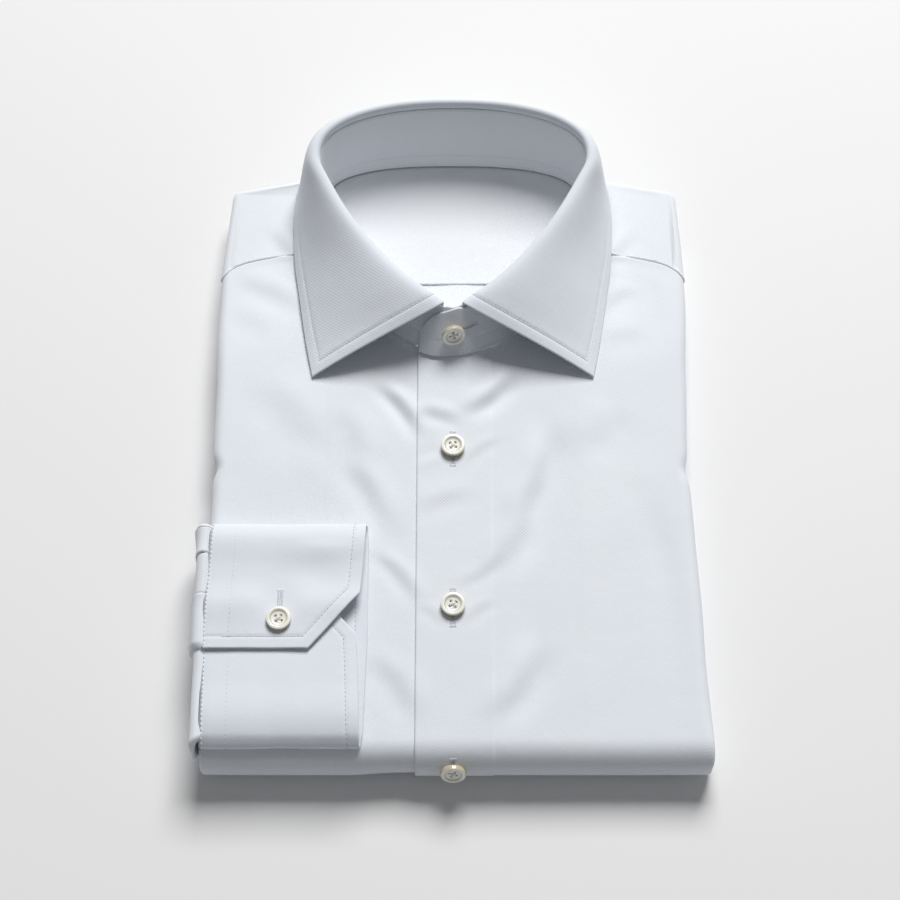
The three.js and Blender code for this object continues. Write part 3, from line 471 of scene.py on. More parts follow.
# the folded body: two fronts in one flat pack
body = {
    "height": 26.0,  # over the near fold
    "tailLayer": 11.5,
    "layerRoom": 3.4,
    "foldY": -157.5,
    "clothWall": 0.55,
    "inset": 0.3,  # how far the side fold's cloth lies inside the solid
    "placketEdge": -18.2,
    "facingEdge": 19.4,
    "facingHeight": 0.3,
    "lapStep": 1.25,  # how much lower the button side lies beside the placket
    "settle": -52.0,
    "cornerPower": 0.42,
    "rows": (150, 28, 56),  # on the chest, round the near fold and underneath
    "sewnLift": (0.1, -0.2),  # beside the band and beside the yoke
    "sideWay": 0.35,  # how far the side fold lies in
    "dents": [(-1, -12, 5, 2.0), (1, -13, 6, 1.6)],  # side, y, width and depth of a dent in the side fold
    "sideWaves": [(0.3, 23, 1), (0.2, 9.1, 2)],  # height, length and turn of a slow wave along it
    "creaseHeight": 2.33,  # makes the top of t exp(-t^2) come to 1
    "lightWay": (0.16, 0.99),  # the way to the key light in plan
    "ripples": [(0.28, 4, 150), (0.1, 9, 60)],  # height, seed, length
    "wrinkleDrop": 0.7,  # leaves room for the ridges inside the solid's form
    "heights": [  # y, z of the upper face
        (-160, 26), (40, 26), (60, 25.7), (83, 24.6), (118, 22.9), (160, 21.2), (190, 20.8),
    ],
    "sides": [  # y, half width on the right and on the left
        (-172, 120.5, 125.2), (-136, 121, 123.9), (-73, 121.6, 121.9), (-14, 122, 120.1), (41, 123.2, 121.5),
        (72, 124, 122.6), (106, 123.1, 123.3), (160, 119.4, 121.2),
    ],
    "seam": [(60, 119.8), (65.9, 118.9), (86, 117.2), (104, 113.6), (115, 109.6), (123, 102.5)],  # x, y
    "far": [  # x, y of the shoulders' fold, y of the hem below it
        (0, 183.5, 166), (30, 181, 164), (60, 174.3, 156), (83, 167.4, 146), (112, 161, 134),
        (123, 158.6, 131),
    ],
    # folds, from x, y to x, y, with a half width and a height: each is a step whose side nearer the key
    # light stands higher, or lower where the height is below 0
    "creases": [
        (-37, 35, -17, 6, 5, 1.5), (31, 42, 7, 19, 5.6, 1.55), (-18, 20, 4, 13, 5, 0.75),
        (48, 8, 34, -38, 8.5, 1.7), (40, -25, 23, -68, 9, 1.45), (25, -61, 3, -78, 4.5, 0.4),
        (-38, -60, -17, -87, 5, 0.75), (-52, -10, -33, -49, 8, 1.15), (-96, 35, -71, -6, 14, 0.85),
        (-56, 20, -46, -14, 9, 0.75), (84, 22, 64, -3, 13, 0.65), (42, -110, 20, -147, 8.5, 1.35),
        (-39, -115, -16, -151, 7.5, 0.7), (6, -10, 24, 4, 4, 0.35), (-18, -11, -5, -4, 3.6, -0.3),
        (-17, -37, 10, -27, 6.5, 0.4), (-15, -89, -4, -100, 3.6, 0.3), (6, -98, 20, -86, 3.8, 0.35),
        (102, -25, 114, -145, 11, 1.0), (-120, 101, -78, 81, 8, 0.65), (-119, 79, -96, 67, 9, 0.4),
        (78, 81, 96, 95, 6.5, 0.55), (76, 61, 102, 65, 8, 0.3), (-100, 133, -84, 112, 5, 0.7),
        (98, 133, 81, 112, 5, 0.65), (107, 104, 114, 55, 9, 0.6), (-78, 3, -51, -31, 10, -0.3),
    ],
}
body["chestFloor"] = body["tailLayer"] + body["layerRoom"]
neckRows = [  # station, base x, y, crest x, y, z: centre back to centre front
    (0, 0, 175.8, 0, 188.5, 61.5), (1, 26, 175, 28.5, 186.6, 61.4), (2, 48, 171.5, 53, 179.6, 61),
    (3, 64, 163.5, 67.5, 168.6, 60.4), (4, 70.5, 147, 71, 155.4, 59.2), (5, 68, 126, 65, 141.6, 57.4),
    (6, 60, 104, 54, 122, 55.3), (7, 48, 84, 40.8, 104, 53), (8, 34, 67.5, 26.6, 88.3, 51),
    (9, 17, 57, 12.6, 77.6, 48.6), (10, 0, 53, 0, 70.5, 46),
]


def mirrored(rows, *flipped):
    # the rows, and before them the same with their key and the flipped columns turned over
    sign = np.array([-1 if i in (0, *flipped) else 1 for i in range(len(rows[0]))])
    return [tuple(np.array(row) * sign) for row in rows[:0:-1]] + list(rows)


farBoth = mirrored(body["far"])
ringOnce = mirrored(neckRows, 1, 3)
shifted = lambda rows, by: [(row[0] + by, *row[1:]) for row in rows]
ringRows = shifted(ringOnce[-4:-1], -20) + ringOnce + shifted(ringOnce[1:4], 20)
frontNeck = [(row[1], row[2]) for row in neckRows[:4:-1]]
frontNeckBoth = mirrored(frontNeck)
seamJoin = 5.33  # station of the ring where the yoke's front seam meets it


def topZ(y):  # height of the upper face
    return through(body["heights"], y)


def sideX(y, side):  # half width on the left (1) or the right (-1)
    return through(body["sides"], y, 2 if side > 0 else 1)


def chestHalf(y):  # half thickness of the upper layer
    return (topZ(y) - body["chestFloor"]) / 2


def relief(x, y):
    # height of the cloth over its plain form: the folds, each t exp(-t^2) across its line, scaled to its
    # height and faded at both ends, and long soft ripples
    total = np.zeros(np.broadcast(x, y).shape)
    for x0, y0, x1, y1, width, height in body["creases"]:
        length = math.hypot(x1 - x0, y1 - y0)
        run = ((x - x0) * (x1 - x0) + (y - y0) * (y1 - y0)) / length
        off = ((x - x0) * (y1 - y0) - (y - y0) * (x1 - x0)) / length
        off = off + 0.06 * length * np.sin(run / length * 3)  # each line bends a little
        ends = rise(run, -0.15 * length, 0.35 * length) * (1 - rise(run, 0.6 * length, 1.15 * length))
        lightX, lightY = body["lightWay"]
        lightSide = np.sign(lightX * (y1 - y0) - lightY * (x1 - x0)) * off / width
        total = total + body["creaseHeight"] * height * ends * lightSide * bell(lightSide, 1)
    for height, seed, size in body["ripples"]:
        total = total + height * ripple(x, y, seed, size)
    return total - body["wrinkleDrop"]


def underLap(x):  # the button side lies lower beside the placket and comes level further out
    return body["lapStep"] * rise(x, body["settle"], body["placketEdge"] - 6)


def bodyStations(y, turn):
    # middle line, outward direction and half thickness of a layer: on the chest (turn 0), round the near
    # fold and underneath (turn 180)
    ahead, angle = turn == 0, np.radians(turn)
    foldHalf = mix((body["height"] - body["chestFloor"]) / 2, body["tailLayer"] / 2, turn / 180)
    half = np.where(ahead, chestHalf(y), foldHalf)
    radius = body["height"] / 2 - half
    z = np.where(ahead, body["chestFloor"] + half, body["height"] / 2 + radius * np.cos(angle))
    return y - radius * np.sin(angle), z, -np.sin(angle), np.cos(angle), half


joinX = float(through(ringRows, seamJoin, 1))
seamEndX, seamSideY = body["seam"][-1]
seamFlat = float(sideX(seamSideY, 1) - chestHalf(seamSideY))


def turnedX(turns):  # how far out each turn round the side fold lies, up to the seam's end
    return mix(seamFlat, seamEndX, np.sin(np.radians(np.clip(turns, 0, 90))))


def topEdge(x):  # the neckline inside, the yoke's seam outside
    inside = through(frontNeckBoth, x) + 1.4
    return np.where(np.abs(x) < joinX, inside, through(body["seam"], np.abs(x)))


def sideWobble(y, side):
    # the side fold isn't quite straight: a dent on each side, each depth exp(-(y / width)^2), and slow waves
    dents = sum(depth * bell(y - at, width) for own, at, width, depth in body["dents"] if own == side)
    waves = sum(height * np.sin(y / size + turn * side) for height, size, turn in body["sideWaves"])
    return dents + body["sideWay"] + waves


def facingStep(x):  # the cloth is a little thicker where the placket's facing lies under it
    return body["facingHeight"] * (1 - rise(x, body["facingEdge"] - 0.8, body["facingEdge"] + 0.8))


# kinds of columns: at an x, at a share of the way out, at a turn round the side fold, and in underneath
atX, atShare, atTurn, atFlank = range(4)


def frontGrid(side, columns):
    # one front: columns are (kind, place, depth) across it, rows run from its top edge over the chest,
    # round the near fold and back under to its hem
    kinds, places, depth = np.array(columns, float).T
    plain, turned, flank = kinds == atX, kinds == atTurn, kinds == atFlank
    chestRows, foldRows, tailRows = body["rows"]
    share = np.clip(places, 0, 1)
    nominal = np.where(kinds == atShare, mix(joinX, seamFlat, share), turnedX(places))
    nominal = np.where(plain, places, np.where(flank, seamEndX, nominal))
    top, hem = topEdge(nominal), through(farBoth, nominal, 2)
    chest = mix(top, body["foldY"], np.linspace(0, 1, chestRows)[:, None] ** 1.02)
    tail = mix(body["foldY"], hem, np.linspace(0, 1, tailRows)[1:, None])
    foldTurns = np.linspace(0, 180, foldRows)[1:]
    turns = np.concatenate([0 * chest[:, 0], foldTurns, 180 + 0 * tail[:, 0]])[:, None]
    middle = np.concatenate([chest, body["foldY"] + 0 * foldTurns[:, None] * top, tail])
    y, z, upY, upZ, half = bodyStations(middle, turns)
    width = sideX(y, side) - sideWobble(y, side)
    flat = width - half
    xFace = np.where(plain, places, mix(joinX, flat, share))
    x = side * xFace
    lap = underLap(x) if side < 0 else 0
    level = np.clip(upZ, 0, 1)
    bulge = relief(x, y + 8 * (1 - upZ)) * level - 0.12 * (1 - level)
    # the edge sewn to the band or the yoke lies a little higher than the cloth beside it
    sewn = rise(y, top - 5, top - 1) * level
    bulge = mix(bulge, np.where(nominal < joinX, *body["sewnLift"]), sewn)
    lap = lap * (1 - sewn * rise(np.abs(x), 17, 23))
    fade = np.where(plain, 0, share**5)
    facing = facingStep(xFace) * (side > 0) * plain
    onFace = half - depth - lap + mix(bulge, -body["inset"], fade) + facing
    angle = np.radians(places)
    reach = half - depth - body["inset"]
    sharp = mix(1, body["cornerPower"], bell(y + 167, 16))  # the side fold is squarer at the near corners
    notch = 1.5 * bell(z - 13, 3.5) * rise(-y, 160, 168) * (side > 0)
    x = np.where(turned, side * (flat + reach * squarer(np.sin(angle), sharp) - notch), x)
    x = np.where(flank, side * (flat - places), x)
    out = np.where(turned, reach * squarer(np.cos(angle), sharp), np.where(flank, -reach, onFace))
    points = xyz(x, y + upY * out, z + upZ * out)
    across = arcLength(points, 1)[60]
    before = np.where(turns > 0, body["foldY"], y)
    along = np.where(turns < 180, before, 2 * body["foldY"] - y) - body["height"] / 2 * np.radians(turns)
    return points, np.stack([side * across + 0 * along, along], -1)


def outerColumns(count):  # the columns from the neck's side out, round the side fold and in underneath
    out = [(atShare, share, 0) for share in np.linspace(0, 1, count)]
    turns = [(atTurn, turn, 0) for turn in np.linspace(0, 180, 19)[1:]]
    return out + turns + [(atFlank, inwards, 0) for inwards in (1.5, 4, 8, 14, 22)]


edgeX = body["placketEdge"]
foldedEdge = [  # x, or how far inside the placket's edge, and depth
    (-9, 1.25), (-13, 1.3), (-17.3, 1.25), (0.45, 1.1), (0.1, 0.85), (0, 0.58), (0.1, 0.3), (0.38, 0.08),
    (0.85, 0),
]
placketColumns = [(atX, x if x < -1 else edgeX + x, depth) for x, depth in foldedEdge]
faceXs = [*np.arange(edgeX + 2, 18, 2.0), 18.4, 18.9, 19.4, 19.9, 20.6, *np.arange(22, 66, 2.0)]
leftColumns = placketColumns + [(atX, x, 0) for x in faceXs] + outerColumns(28)
frontLeft = clothSheet("frontLeft", *frontGrid(1, leftColumns), body["clothWall"], bodyCloth)

underXs = [-6, -2, 2, 6, 10, 14, 16, *np.arange(17, 66, 2.0)]
rightColumns = [(atX, x, 0) for x in underXs] + outerColumns(28)
frontRight = clothSheet("frontRight", *frontGrid(-1, rightColumns), body["clothWall"], bodyCloth)
print("fronts made")

# the yoke goes over the shoulders' fold
yokeShape = {"overlap": 1.0, "ridge": 0.5, "rise": 0.35, "flank": (2, 5, 10, 18, 28)}


def shoulderLine():
    # plan outline of the yoke's fold: up the right side, over a rounded corner, across the shoulders and
    # down the left side, as points a quarter of a millimetre apart
    def side(sign, low, high):
        ys = np.linspace(low, high, 60)
        return np.stack([sign * sideX(ys, sign), ys], -1)

    def corner(start, control, end):
        t = np.linspace(0, 1, 30)[1:-1, None]
        return start * (1 - t) ** 2 + control * 2 * t * (1 - t) + end * t**2

    xs = np.linspace(-114, 114, 130)
    far = np.stack([xs, through(farBoth, xs)], -1)
    up, down = side(-1, seamSideY, 154), side(1, seamSideY, 154.5)[::-1]
    leftTop, rightTop = np.array([-120.2, 160.4]), np.array([121.2, 160.3])
    corners = corner(up[-1], leftTop, far[0]), corner(far[-1], rightTop, down[0])
    line = np.concatenate([up, corners[0], far, corners[1], down])
    run = arcLength(line)
    at = np.linspace(0, run[-1], int(run[-1] * 4))
    smooth = pointsAt(at, run, line)
    kernel = bell(np.arange(-12, 13), 5.0)
    padded = np.pad(smooth, ((12, 12), (0, 0)), mode="reflect", reflect_type="odd")
    return np.stack([np.convolve(padded[:, k], kernel / kernel.sum(), "valid") for k in range(2)], -1)


yokeLine = shoulderLine()
yokeRun = arcLength(yokeLine)
yokeLength = yokeRun[-1]


def yokeGrid():
    # rows run along the outline, with the seam's folded edge at both ends; columns run from under the fold,
    # round it and over the face to the neckline
    foldIn = [(1.6, 1.3), (0.2, 1.25), (-0.35, 1.05), (-0.6, 0.7), (-0.55, 0.35), (-0.3, 0.1), (0.2, 0)]
    start = np.array([(m - yokeShape["overlap"] + 0.6, d) for m, d in foldIn])
    inner = np.concatenate([
        np.linspace(0.5, 2.5, 6), np.linspace(3.2, 8, 6), np.linspace(10, yokeLength / 2, 60),
    ])
    first = np.concatenate([start[:, 0], inner])[:, None]
    m = np.concatenate([first, yokeLength - first[-2::-1]])
    depth = np.concatenate([start[:, 1], 0 * inner, 0 * inner[1:], start[::-1, 1]])[:, None]
    fromSeam = np.minimum(m, yokeLength - m)
    on = np.clip(m[:, 0], 0, yokeLength)
    edge = pointsAt(on, yokeRun, yokeLine)
    tangent = unit(pointsAt(on + 1, yokeRun, yokeLine) - pointsAt(on - 1, yokeRun, yokeLine))
    outward = xyz(-tangent[:, 1], tangent[:, 0], 0)
    edgeX, edgeY, outX, outY = edge[:, :1], edge[:, 1:], outward[:, :1], outward[:, 1:2]
    bow = 1 - rise(np.maximum(fromSeam, 0), 0, 0.16 * yokeLength)
    past = np.minimum(fromSeam, 0)
    ridge = yokeShape["ridge"] * (1 - 0.85 * rise(fromSeam, 0.5, 2.2)) - depth
    turns = np.linspace(180, 0, 21)
    y = edgeY + (through(body["seam"], turnedX(turns)) - seamSideY) * bow
    half = chestHalf(y)
    angle = np.radians(turns)
    reach = half - body["inset"] + ridge
    planOut = reach * np.sin(angle) - half
    turnZ = body["chestFloor"] + half + reach * np.cos(angle)
    turnPoints = xyz(edgeX + outX * planOut, y + outY * planOut + past, turnZ)
    flank = turnPoints[:, :1] - outward[:, None] * np.array(yokeShape["flank"][::-1])[:, None]
    neck = curve(ringRows, mix(-seamJoin, seamJoin, np.clip(m / yokeLength, 0, 1)), (1, 2))
    base = edge - outward[:, :2] * chestHalf(edgeY)
    share = np.linspace(0, 1, 26)[1:, None]
    planX, planY = np.moveaxis(mix(base[:, None], neck, share), -1, 0)
    faceY = mix(planY, through(body["seam"], np.abs(planX)), bow) + past
    fade = rise(share[:, 0], 0, 0.8)
    faceZ = topZ(faceY) + mix(-body["inset"], relief(planX, faceY) + yokeShape["rise"], fade) + ridge
    points = np.concatenate([flank, turnPoints, xyz(planX, faceY, faceZ)], 1)
    across, down = arcLength(points, 1), arcLength(points, 0)
    return points, np.stack([down[:, 30:31] + 0 * down, across], -1)


yoke = clothSheet("yokeOuter", *yokeGrid(), body["clothWall"], bodyCloth)

# inside the neck: the inner yoke and the top of the back
neck = {"floor": 18.5, "seamY": 101.2, "seamHalf": 56.5, "joinAt": 5.6, "nearY": 58, "centreY": 125.0}


def liningGrid():
    # the inner yoke: from the folded edge of its seam up to the neck ring, dished below the band
    edgeRows = np.array([  # distance from the seam, depth
        (1.4, 1.0), (0.2, 0.95), (-0.15, 0.75), (-0.3, 0.45), (-0.2, 0.15), (0.15, 0), (0.8, 0),
    ])
    m = np.concatenate([edgeRows[:, 0], [2], np.linspace(3.5, 80, 44)])
    depth = np.concatenate([edgeRows[:, 1], np.zeros(45)])
    across = np.linspace(-1, 1, 81)
    seam = np.stack([across * neck["seamHalf"], 0 * across + neck["seamY"]], -1)
    edge = curve(ringRows, across * neck["joinAt"], (1, 2))
    edge = edge + unit(np.array([0, neck["centreY"]]) - edge) * 0.1
    share = np.clip(m / 80, -0.01, 1)[:, None]
    plan = mix(seam, edge, share[..., None])
    lift = np.clip(np.maximum(share, np.abs(across)), 0, 1) ** 7
    x, y = plan[..., 0], plan[..., 1]
    z = mix(neck["floor"] + 0.25 * ripple(x, y, 21, 90), topZ(y) - 0.3, lift)
    points = xyz(x, y, z - depth[:, None])
    return points, points[..., :2].copy()


# the inner yoke in the lighter copy of the shirting: painted light
yokeLining = clothSheet("yokeLining", *liningGrid(), body["clothWall"], liningPaintedLight)


def backGrid():
    # the back panel below the inner yoke: plain, a little lower than the yoke's folded edge, and turned up
    # all round to meet the neckline
    y = np.linspace(neck["nearY"], neck["seamY"] + 4, 40)[:, None]
    half = through([(r[2], r[1]) for r in neckRows[:4:-1]], y) + 1.5
    x = np.linspace(-1, 1, 61) * half
    z = neck["floor"] - 0.95 + 0.3 * ripple(x, y, 33, 70) + 0.5 * bell(x - 3, 9) * rise(y, 85, 101)
    lift = np.maximum(np.abs(x / half) ** 9, (1 - rise(y, neck["nearY"], neck["nearY"] + 6)) + 0 * x)
    z = mix(z, topZ(y) - 1.3, lift * (1 - rise(y, neck["seamY"] - 12, neck["seamY"])))
    points = xyz(x, y, z)
    return points, points[..., :2].copy()


# the back panel in the same lighter copy of the shirting: painted light
backPanel = clothSheet("backPanel", *backGrid(), 0.5, liningPaintedLight)
print("yoke and neck made")

# the collar: a band that stands, and a leaf folded over it
collar = {
    "roll": 1.75, "backDrop": 4.2, "frontDrop": 3.3, "tabDrop": 1.2, "seamRoom": 0.2, "tabStart": 9.85,
    "lapEnd": 11.02, "tuckEnd": 10.8, "lapShift": 1.2, "tabSag": 2.2,
    "bandHalf": 0.75, "leafHalf": 0.62, "leafRise": 7, "crown": 4, "settle": 0.55, "stitchIn": 6,
    "sunk": 0.08,  # how far the band's stitches lie in its cloth
}
leafRows = [  # station, outer edge x, y, z
    (0, 0, 199.5, 16.5), (1, 30, 196.5, 17), (2, 55, 189, 18.4), (3, 73, 177, 21), (4, 82.5, 161, 23.4),
    (5, 85, 144, 24.2), (6, 84.8, 126, 24.9), (7, 83.5, 107, 25.6), (8, 80.3, 85, 26.4), (9, 76.5, 60, 27),
    (9.62, 72.5, 38.9, 27.3),
]
leafBoth = mirrored(leafRows, 1)
tabRows = [  # station, height of the band there as a share of its full height
    (9.8, 1), (10, 0.985), (10.2, 0.925), (10.4, 0.85), (10.6, 0.745), (10.8, 0.6), (10.93, 0.46),
    (11.02, 0.3),
]
# how far round the crest from the centre back, and the stations of the fold and of the outer edge there
fanRows = [
    (0, 0, 0), (25, 0.9, 0.9), (50, 2.0, 2.0), (75, 3.3, 3.4), (100, 4.6, 4.9), (125, 5.8, 6.45),
    (150, 7.05, 8.0), (169.2, 8.14, 8.98), (181.1, 8.98, 9.36), (190, 9.62, 9.62),
]
fanBoth = mirrored(fanRows, 1, 2)


def neckFrame(at):
    # the seam point, the crest, the way down the band and the way out of it at each station
    baseY = through(ringRows, at, 2)
    base = xyz(through(ringRows, at), baseY, topZ(baseY) + 0.1)
    crestAt = lambda station: curve(ringRows, station, (3, 4, 5))
    crest = crestAt(at)
    down = unit(base - crest)
    out = unit(np.cross(crestAt(at + 0.05) - crestAt(at - 0.05), down))
    return base, crest, down, out


def dropAt(at):  # how far below the crest the band ends: less at the front, and least on the tab
    drop = mix(collar["backDrop"], collar["frontDrop"], rise(np.abs(at), 5, 9.3))
    return mix(drop, collar["tabDrop"], rise(np.abs(at), 9.45, collar["tabStart"]))


def bandMiddle(at, share):
    # the band stands on the seam and leans to just under the crest; its two ends lap at the centre front
    base, crest, down, out = neckFrame(at)
    top = crest + down * dropAt(at)[..., None]
    height = through(tabRows, at)
    lap = np.sign(at) * collar["lapShift"] * rise(np.abs(at), 7, 9)
    points = mix(base, top, (share * height)[..., None]) + out * lap[..., None]
    points[..., 1] -= collar["tabSag"] * rise(at, 9.9, 10.7) * (1 - share)
    points[..., 2] = np.maximum(points[..., 2], topZ(points[..., 1]) + 0.1 + share * 0.5)
    return points


def collarBand():
    # bandMiddle padded, with rounded edges, all the way round and under its own lap
    ends = np.array([0, 0.06, 0.18, 0.4, 0.75])
    stepMm = 21.3  # millimetres to one station, about
    at = np.concatenate([
        -collar["tuckEnd"] + ends / stepMm,
        np.linspace(-collar["tuckEnd"] + 0.07, collar["lapEnd"] - 0.07, 300),
        collar["lapEnd"] - ends[::-1] / stepMm,
    ])
    edge = np.array([0, 0.05, 0.15, 0.32, 0.6, 0.95, 1.5])
    height = 34.0
    share = np.concatenate([edge, np.linspace(2.4, height - 2.4, 26), height - edge[::-1]]) / height
    station, level = np.meshgrid(at, share, indexing="ij")
    middle = bandMiddle(station, level)
    across, up = arcLength(middle, 0), arcLength(middle, 1)
    fromTop = up[:, -1:] - up
    fromEnds = np.minimum(across, across[-1:] - across)
    half = roundEdge(least(up, fromTop, fromEnds), collar["bandHalf"])
    channel = least(up - 2.5, fromEnds + 3.5)
    uv = np.stack([across[:, 12:13] + 0 * across, up], -1)
    piece = plumpShell("collarBand", middle, half, uv, channel)
    # the face towards the neck takes the lighter cloth, painted light for the brightness inside the collar:
    # it is the second half of the faces, or the first, whichever looks inwards
    piece.data.materials.append(bandInsidePaintedLight)
    count = 2 * (middle.shape[0] - 1) * (middle.shape[1] - 1)
    toNeck = np.array([0, neck["centreY"], 40]) - middle[150, 10]
    inward = (gridNormals(middle)[150, 10] * toNeck).sum() > 0
    index = (np.arange(count) < count // 2) == inward
    piece.data.polygons.foreach_set("material_index", index.astype(np.int32))
    return piece


band = collarBand()


def fallCurve(top, bend, settle, edge, share):  # a cubic Bezier curve from top to edge
    s = share[..., None]
    return top * (1 - s) ** 3 + bend * 3 * s * (1 - s) ** 2 + settle * 3 * s**2 * (1 - s) + edge * s**3


def leafMiddle(around, fromEdge):
    # the leaf's middle surface: up from the band's seam, over the roll, then down its fall to the outer
    # edge. around is how far round the crest each row is; fromEdge are distances from the outer edge
    fold, outer = through(fanBoth, around, 1), through(fanBoth, around, 2)
    _, crest, down, out = neckFrame(fold)
    roll = collar["roll"]
    centre = crest + (down + out) * roll
    turns = np.radians(np.linspace(8, 90, 12))
    rolled = centre[:, None] - out[:, None] * (roll * np.cos(turns))[None, :, None]
    rolled = rolled - down[:, None] * (roll * np.sin(turns))[None, :, None]
    seam = (crest + down * np.maximum(dropAt(fold) - collar["seamRoom"], 1.7)[:, None])[:, None]
    seamLine = mix(seam, rolled[:, :1], np.array([0, 0.1, 0.35, 0.7])[None, :, None])
    top = centre - down * roll
    edge = curve(leafBoth, outer, (1, 2, 3)) - np.array([0, 0, collar["settle"]])
    bend = top + out * collar["leafRise"]
    settle = mix(edge, top, 0.4) + np.array([0, 0, collar["crown"]])
    dense = np.linspace(0, 1, 160)
    points = [point[:, None] for point in (top, bend, settle, edge)]
    run = arcLength(fallCurve(*points, dense[None]), 1)
    length = run[:, -1:]
    want = np.clip(length - fromEdge[None] * np.minimum(1, length / fromEdge.max()), 0, None)
    place = np.stack([np.interp(w, r, dense) for w, r in zip(want, run)])
    return np.concatenate([seamLine, rolled[:, :-1], fallCurve(*points, place)], 1)


def collarLeaf():
    # leafMiddle padded, with rounded edges, a dip under the stitching and a soft swell at each point
    ends = np.array([0, 0.05, 0.14, 0.3, 0.55, 0.9, 1.5, 2.4, 3.4, 4.4, 5.1, 5.6, 6.0, 6.4, 6.9, 7.6, 8.6])
    around = np.concatenate([-190 + ends, np.linspace(-180, 180, 230), 190 - ends[::-1]])
    fromEdge = np.concatenate([np.linspace(1, 0.13, 34) * 80, ends[::-1]])
    middle = leafMiddle(around, fromEdge)
    toOuter = arcLength(middle[:, ::-1], 1)[:, ::-1]
    toFront = (190 - np.abs(around))[:, None] + 0 * toOuter
    first = arcLength(middle, 1)
    free = np.minimum(toOuter, toFront)
    half = roundEdge(np.minimum(free, first + 0.02), collar["leafHalf"])
    stitchDip = 0.16 * bell(free - collar["stitchIn"], 0.7) - 0.08 * bell(free - 3, 1.8)
    half = np.clip(half - np.where(free > 0.7, stitchDip, 0), 0, None)
    soft = 0.35 * ripple(around[:, None], toOuter, 51, 80) * rise(toOuter, 0, 30)
    normals = gridNormals(middle)
    # each point of the collar swells a little above its middle
    swell = bell(np.hypot(np.abs(around)[:, None] - 157, toOuter - 21), 15) * rise(toOuter, 0, 8)
    middle = middle + normals * (soft + swell * np.sign(normals[20, -20, 2]))[..., None]
    uv = np.stack([around[:, None] + 0 * toOuter, -toOuter], -1)
    piece = plumpShell("collarLeaf", middle, half, uv, free)
    return piece, middle


leaf, leafSurface = collarLeaf()
leafNormals = normalsUp(leafSurface, 20, -20)
stitchColumn = leafSurface.shape[1] - 1 - 12  # the sixth millimetre in the crowded steps by each free edge
edgeRow = 12
lastRow = len(leafSurface) - 1 - edgeRow
upColumns = np.linspace(6, stitchColumn, 200)
leafLine = lambda rows, columns: lineOn(leafSurface, leafNormals, rows, columns, collar["leafHalf"] - 0.1)
leafStitches = stitchRow("leafStitches", [
    leafLine(np.full(200, edgeRow), upColumns),
    leafLine(np.linspace(edgeRow, lastRow, 900), stitchColumn),
    leafLine(np.full(200, lastRow), upColumns[::-1]),
])


def bandLine(fromAt, toAt, share, side, count=600):
    # a line round the band at a share of its height, on its inner (-1) or outer (1) face
    at = np.linspace(fromAt, toAt, count)
    out = neckFrame(at)[3] * side
    return bandMiddle(at, share + 0 * at) + out * (collar["bandHalf"] - collar["sunk"]), out


tabLevels = np.linspace(0.05, 0.93, 60)
tabAt = np.full(60, collar["lapEnd"] - 0.085)
tabSide = bandMiddle(tabAt, tabLevels) + neckFrame(tabAt)[3] * (collar["bandHalf"] - collar["sunk"])
bandStitches = stitchRow("bandStitches", [
    bandLine(-9.6, 9.6, 0.045, -1), bandLine(-9.0, 9.0, 0.2, -1), bandLine(-8.6, 8.6, 0.965, -1),
    bandLine(-10.6, 10.86, 0.05, 1), (tabSide, neckFrame(tabAt)[3]),
])
print("collar made")

# the cuff on the chest, and the end of its sleeve
cuffShape = {"half": 0.66, "stitchIn": 6, "mitreRise": 0.844, "underRise": 0.86, "rim": 9, "inner": 70}
cuffLeft = [  # y, x of the edge sewn to the sleeve
    (-164, -119.9), (-140, -120.3), (-115.4, -120.7), (-105, -121), (-84, -120.6), (-73, -120.2),
    (-49, -119.5),
]
cuffRows = [  # y, z, right edge: from the buttoned end round both folds to the end that lies under it
    (-114.8, 33.7, -69.5), (-101, 33.6, -57.7), (-86, 32.9, -45.2), (-71, 33.5, -44), (-57, 34.6, -43.1),
    (-49.6, 32.6, -42.8), (-47.5, 29.9, -42.4), (-49.2, 27.9, -42), (-54, 27.2, -41.7), (-105, 27.2, -41.4),
    (-156, 26.9, -42.8), (-160.7, 26.1, -43.6), (-162.3, 26.8, -44), (-161.0, 28.9, -44.2),
    (-157, 31.5, -44.3), (-147, 33.0, -44.8), (-131, 32.1, -45.4), (-106.2, 31.3, -46.8),
    (-97.3, 31.3, -53.7), (-84, 31.2, -66),
]
cuffEnds = np.array([0, 0.05, 0.14, 0.3, 0.6, 1.0, 1.7, 3, 4.4, 5.2, 5.7, 6, 6.3, 6.8, 7.6, 9])
cuffInward = np.concatenate([cuffEnds, np.linspace(10.5, 62, 26), 79 - np.array([12, 9.6, 6, 2.2, 0])])


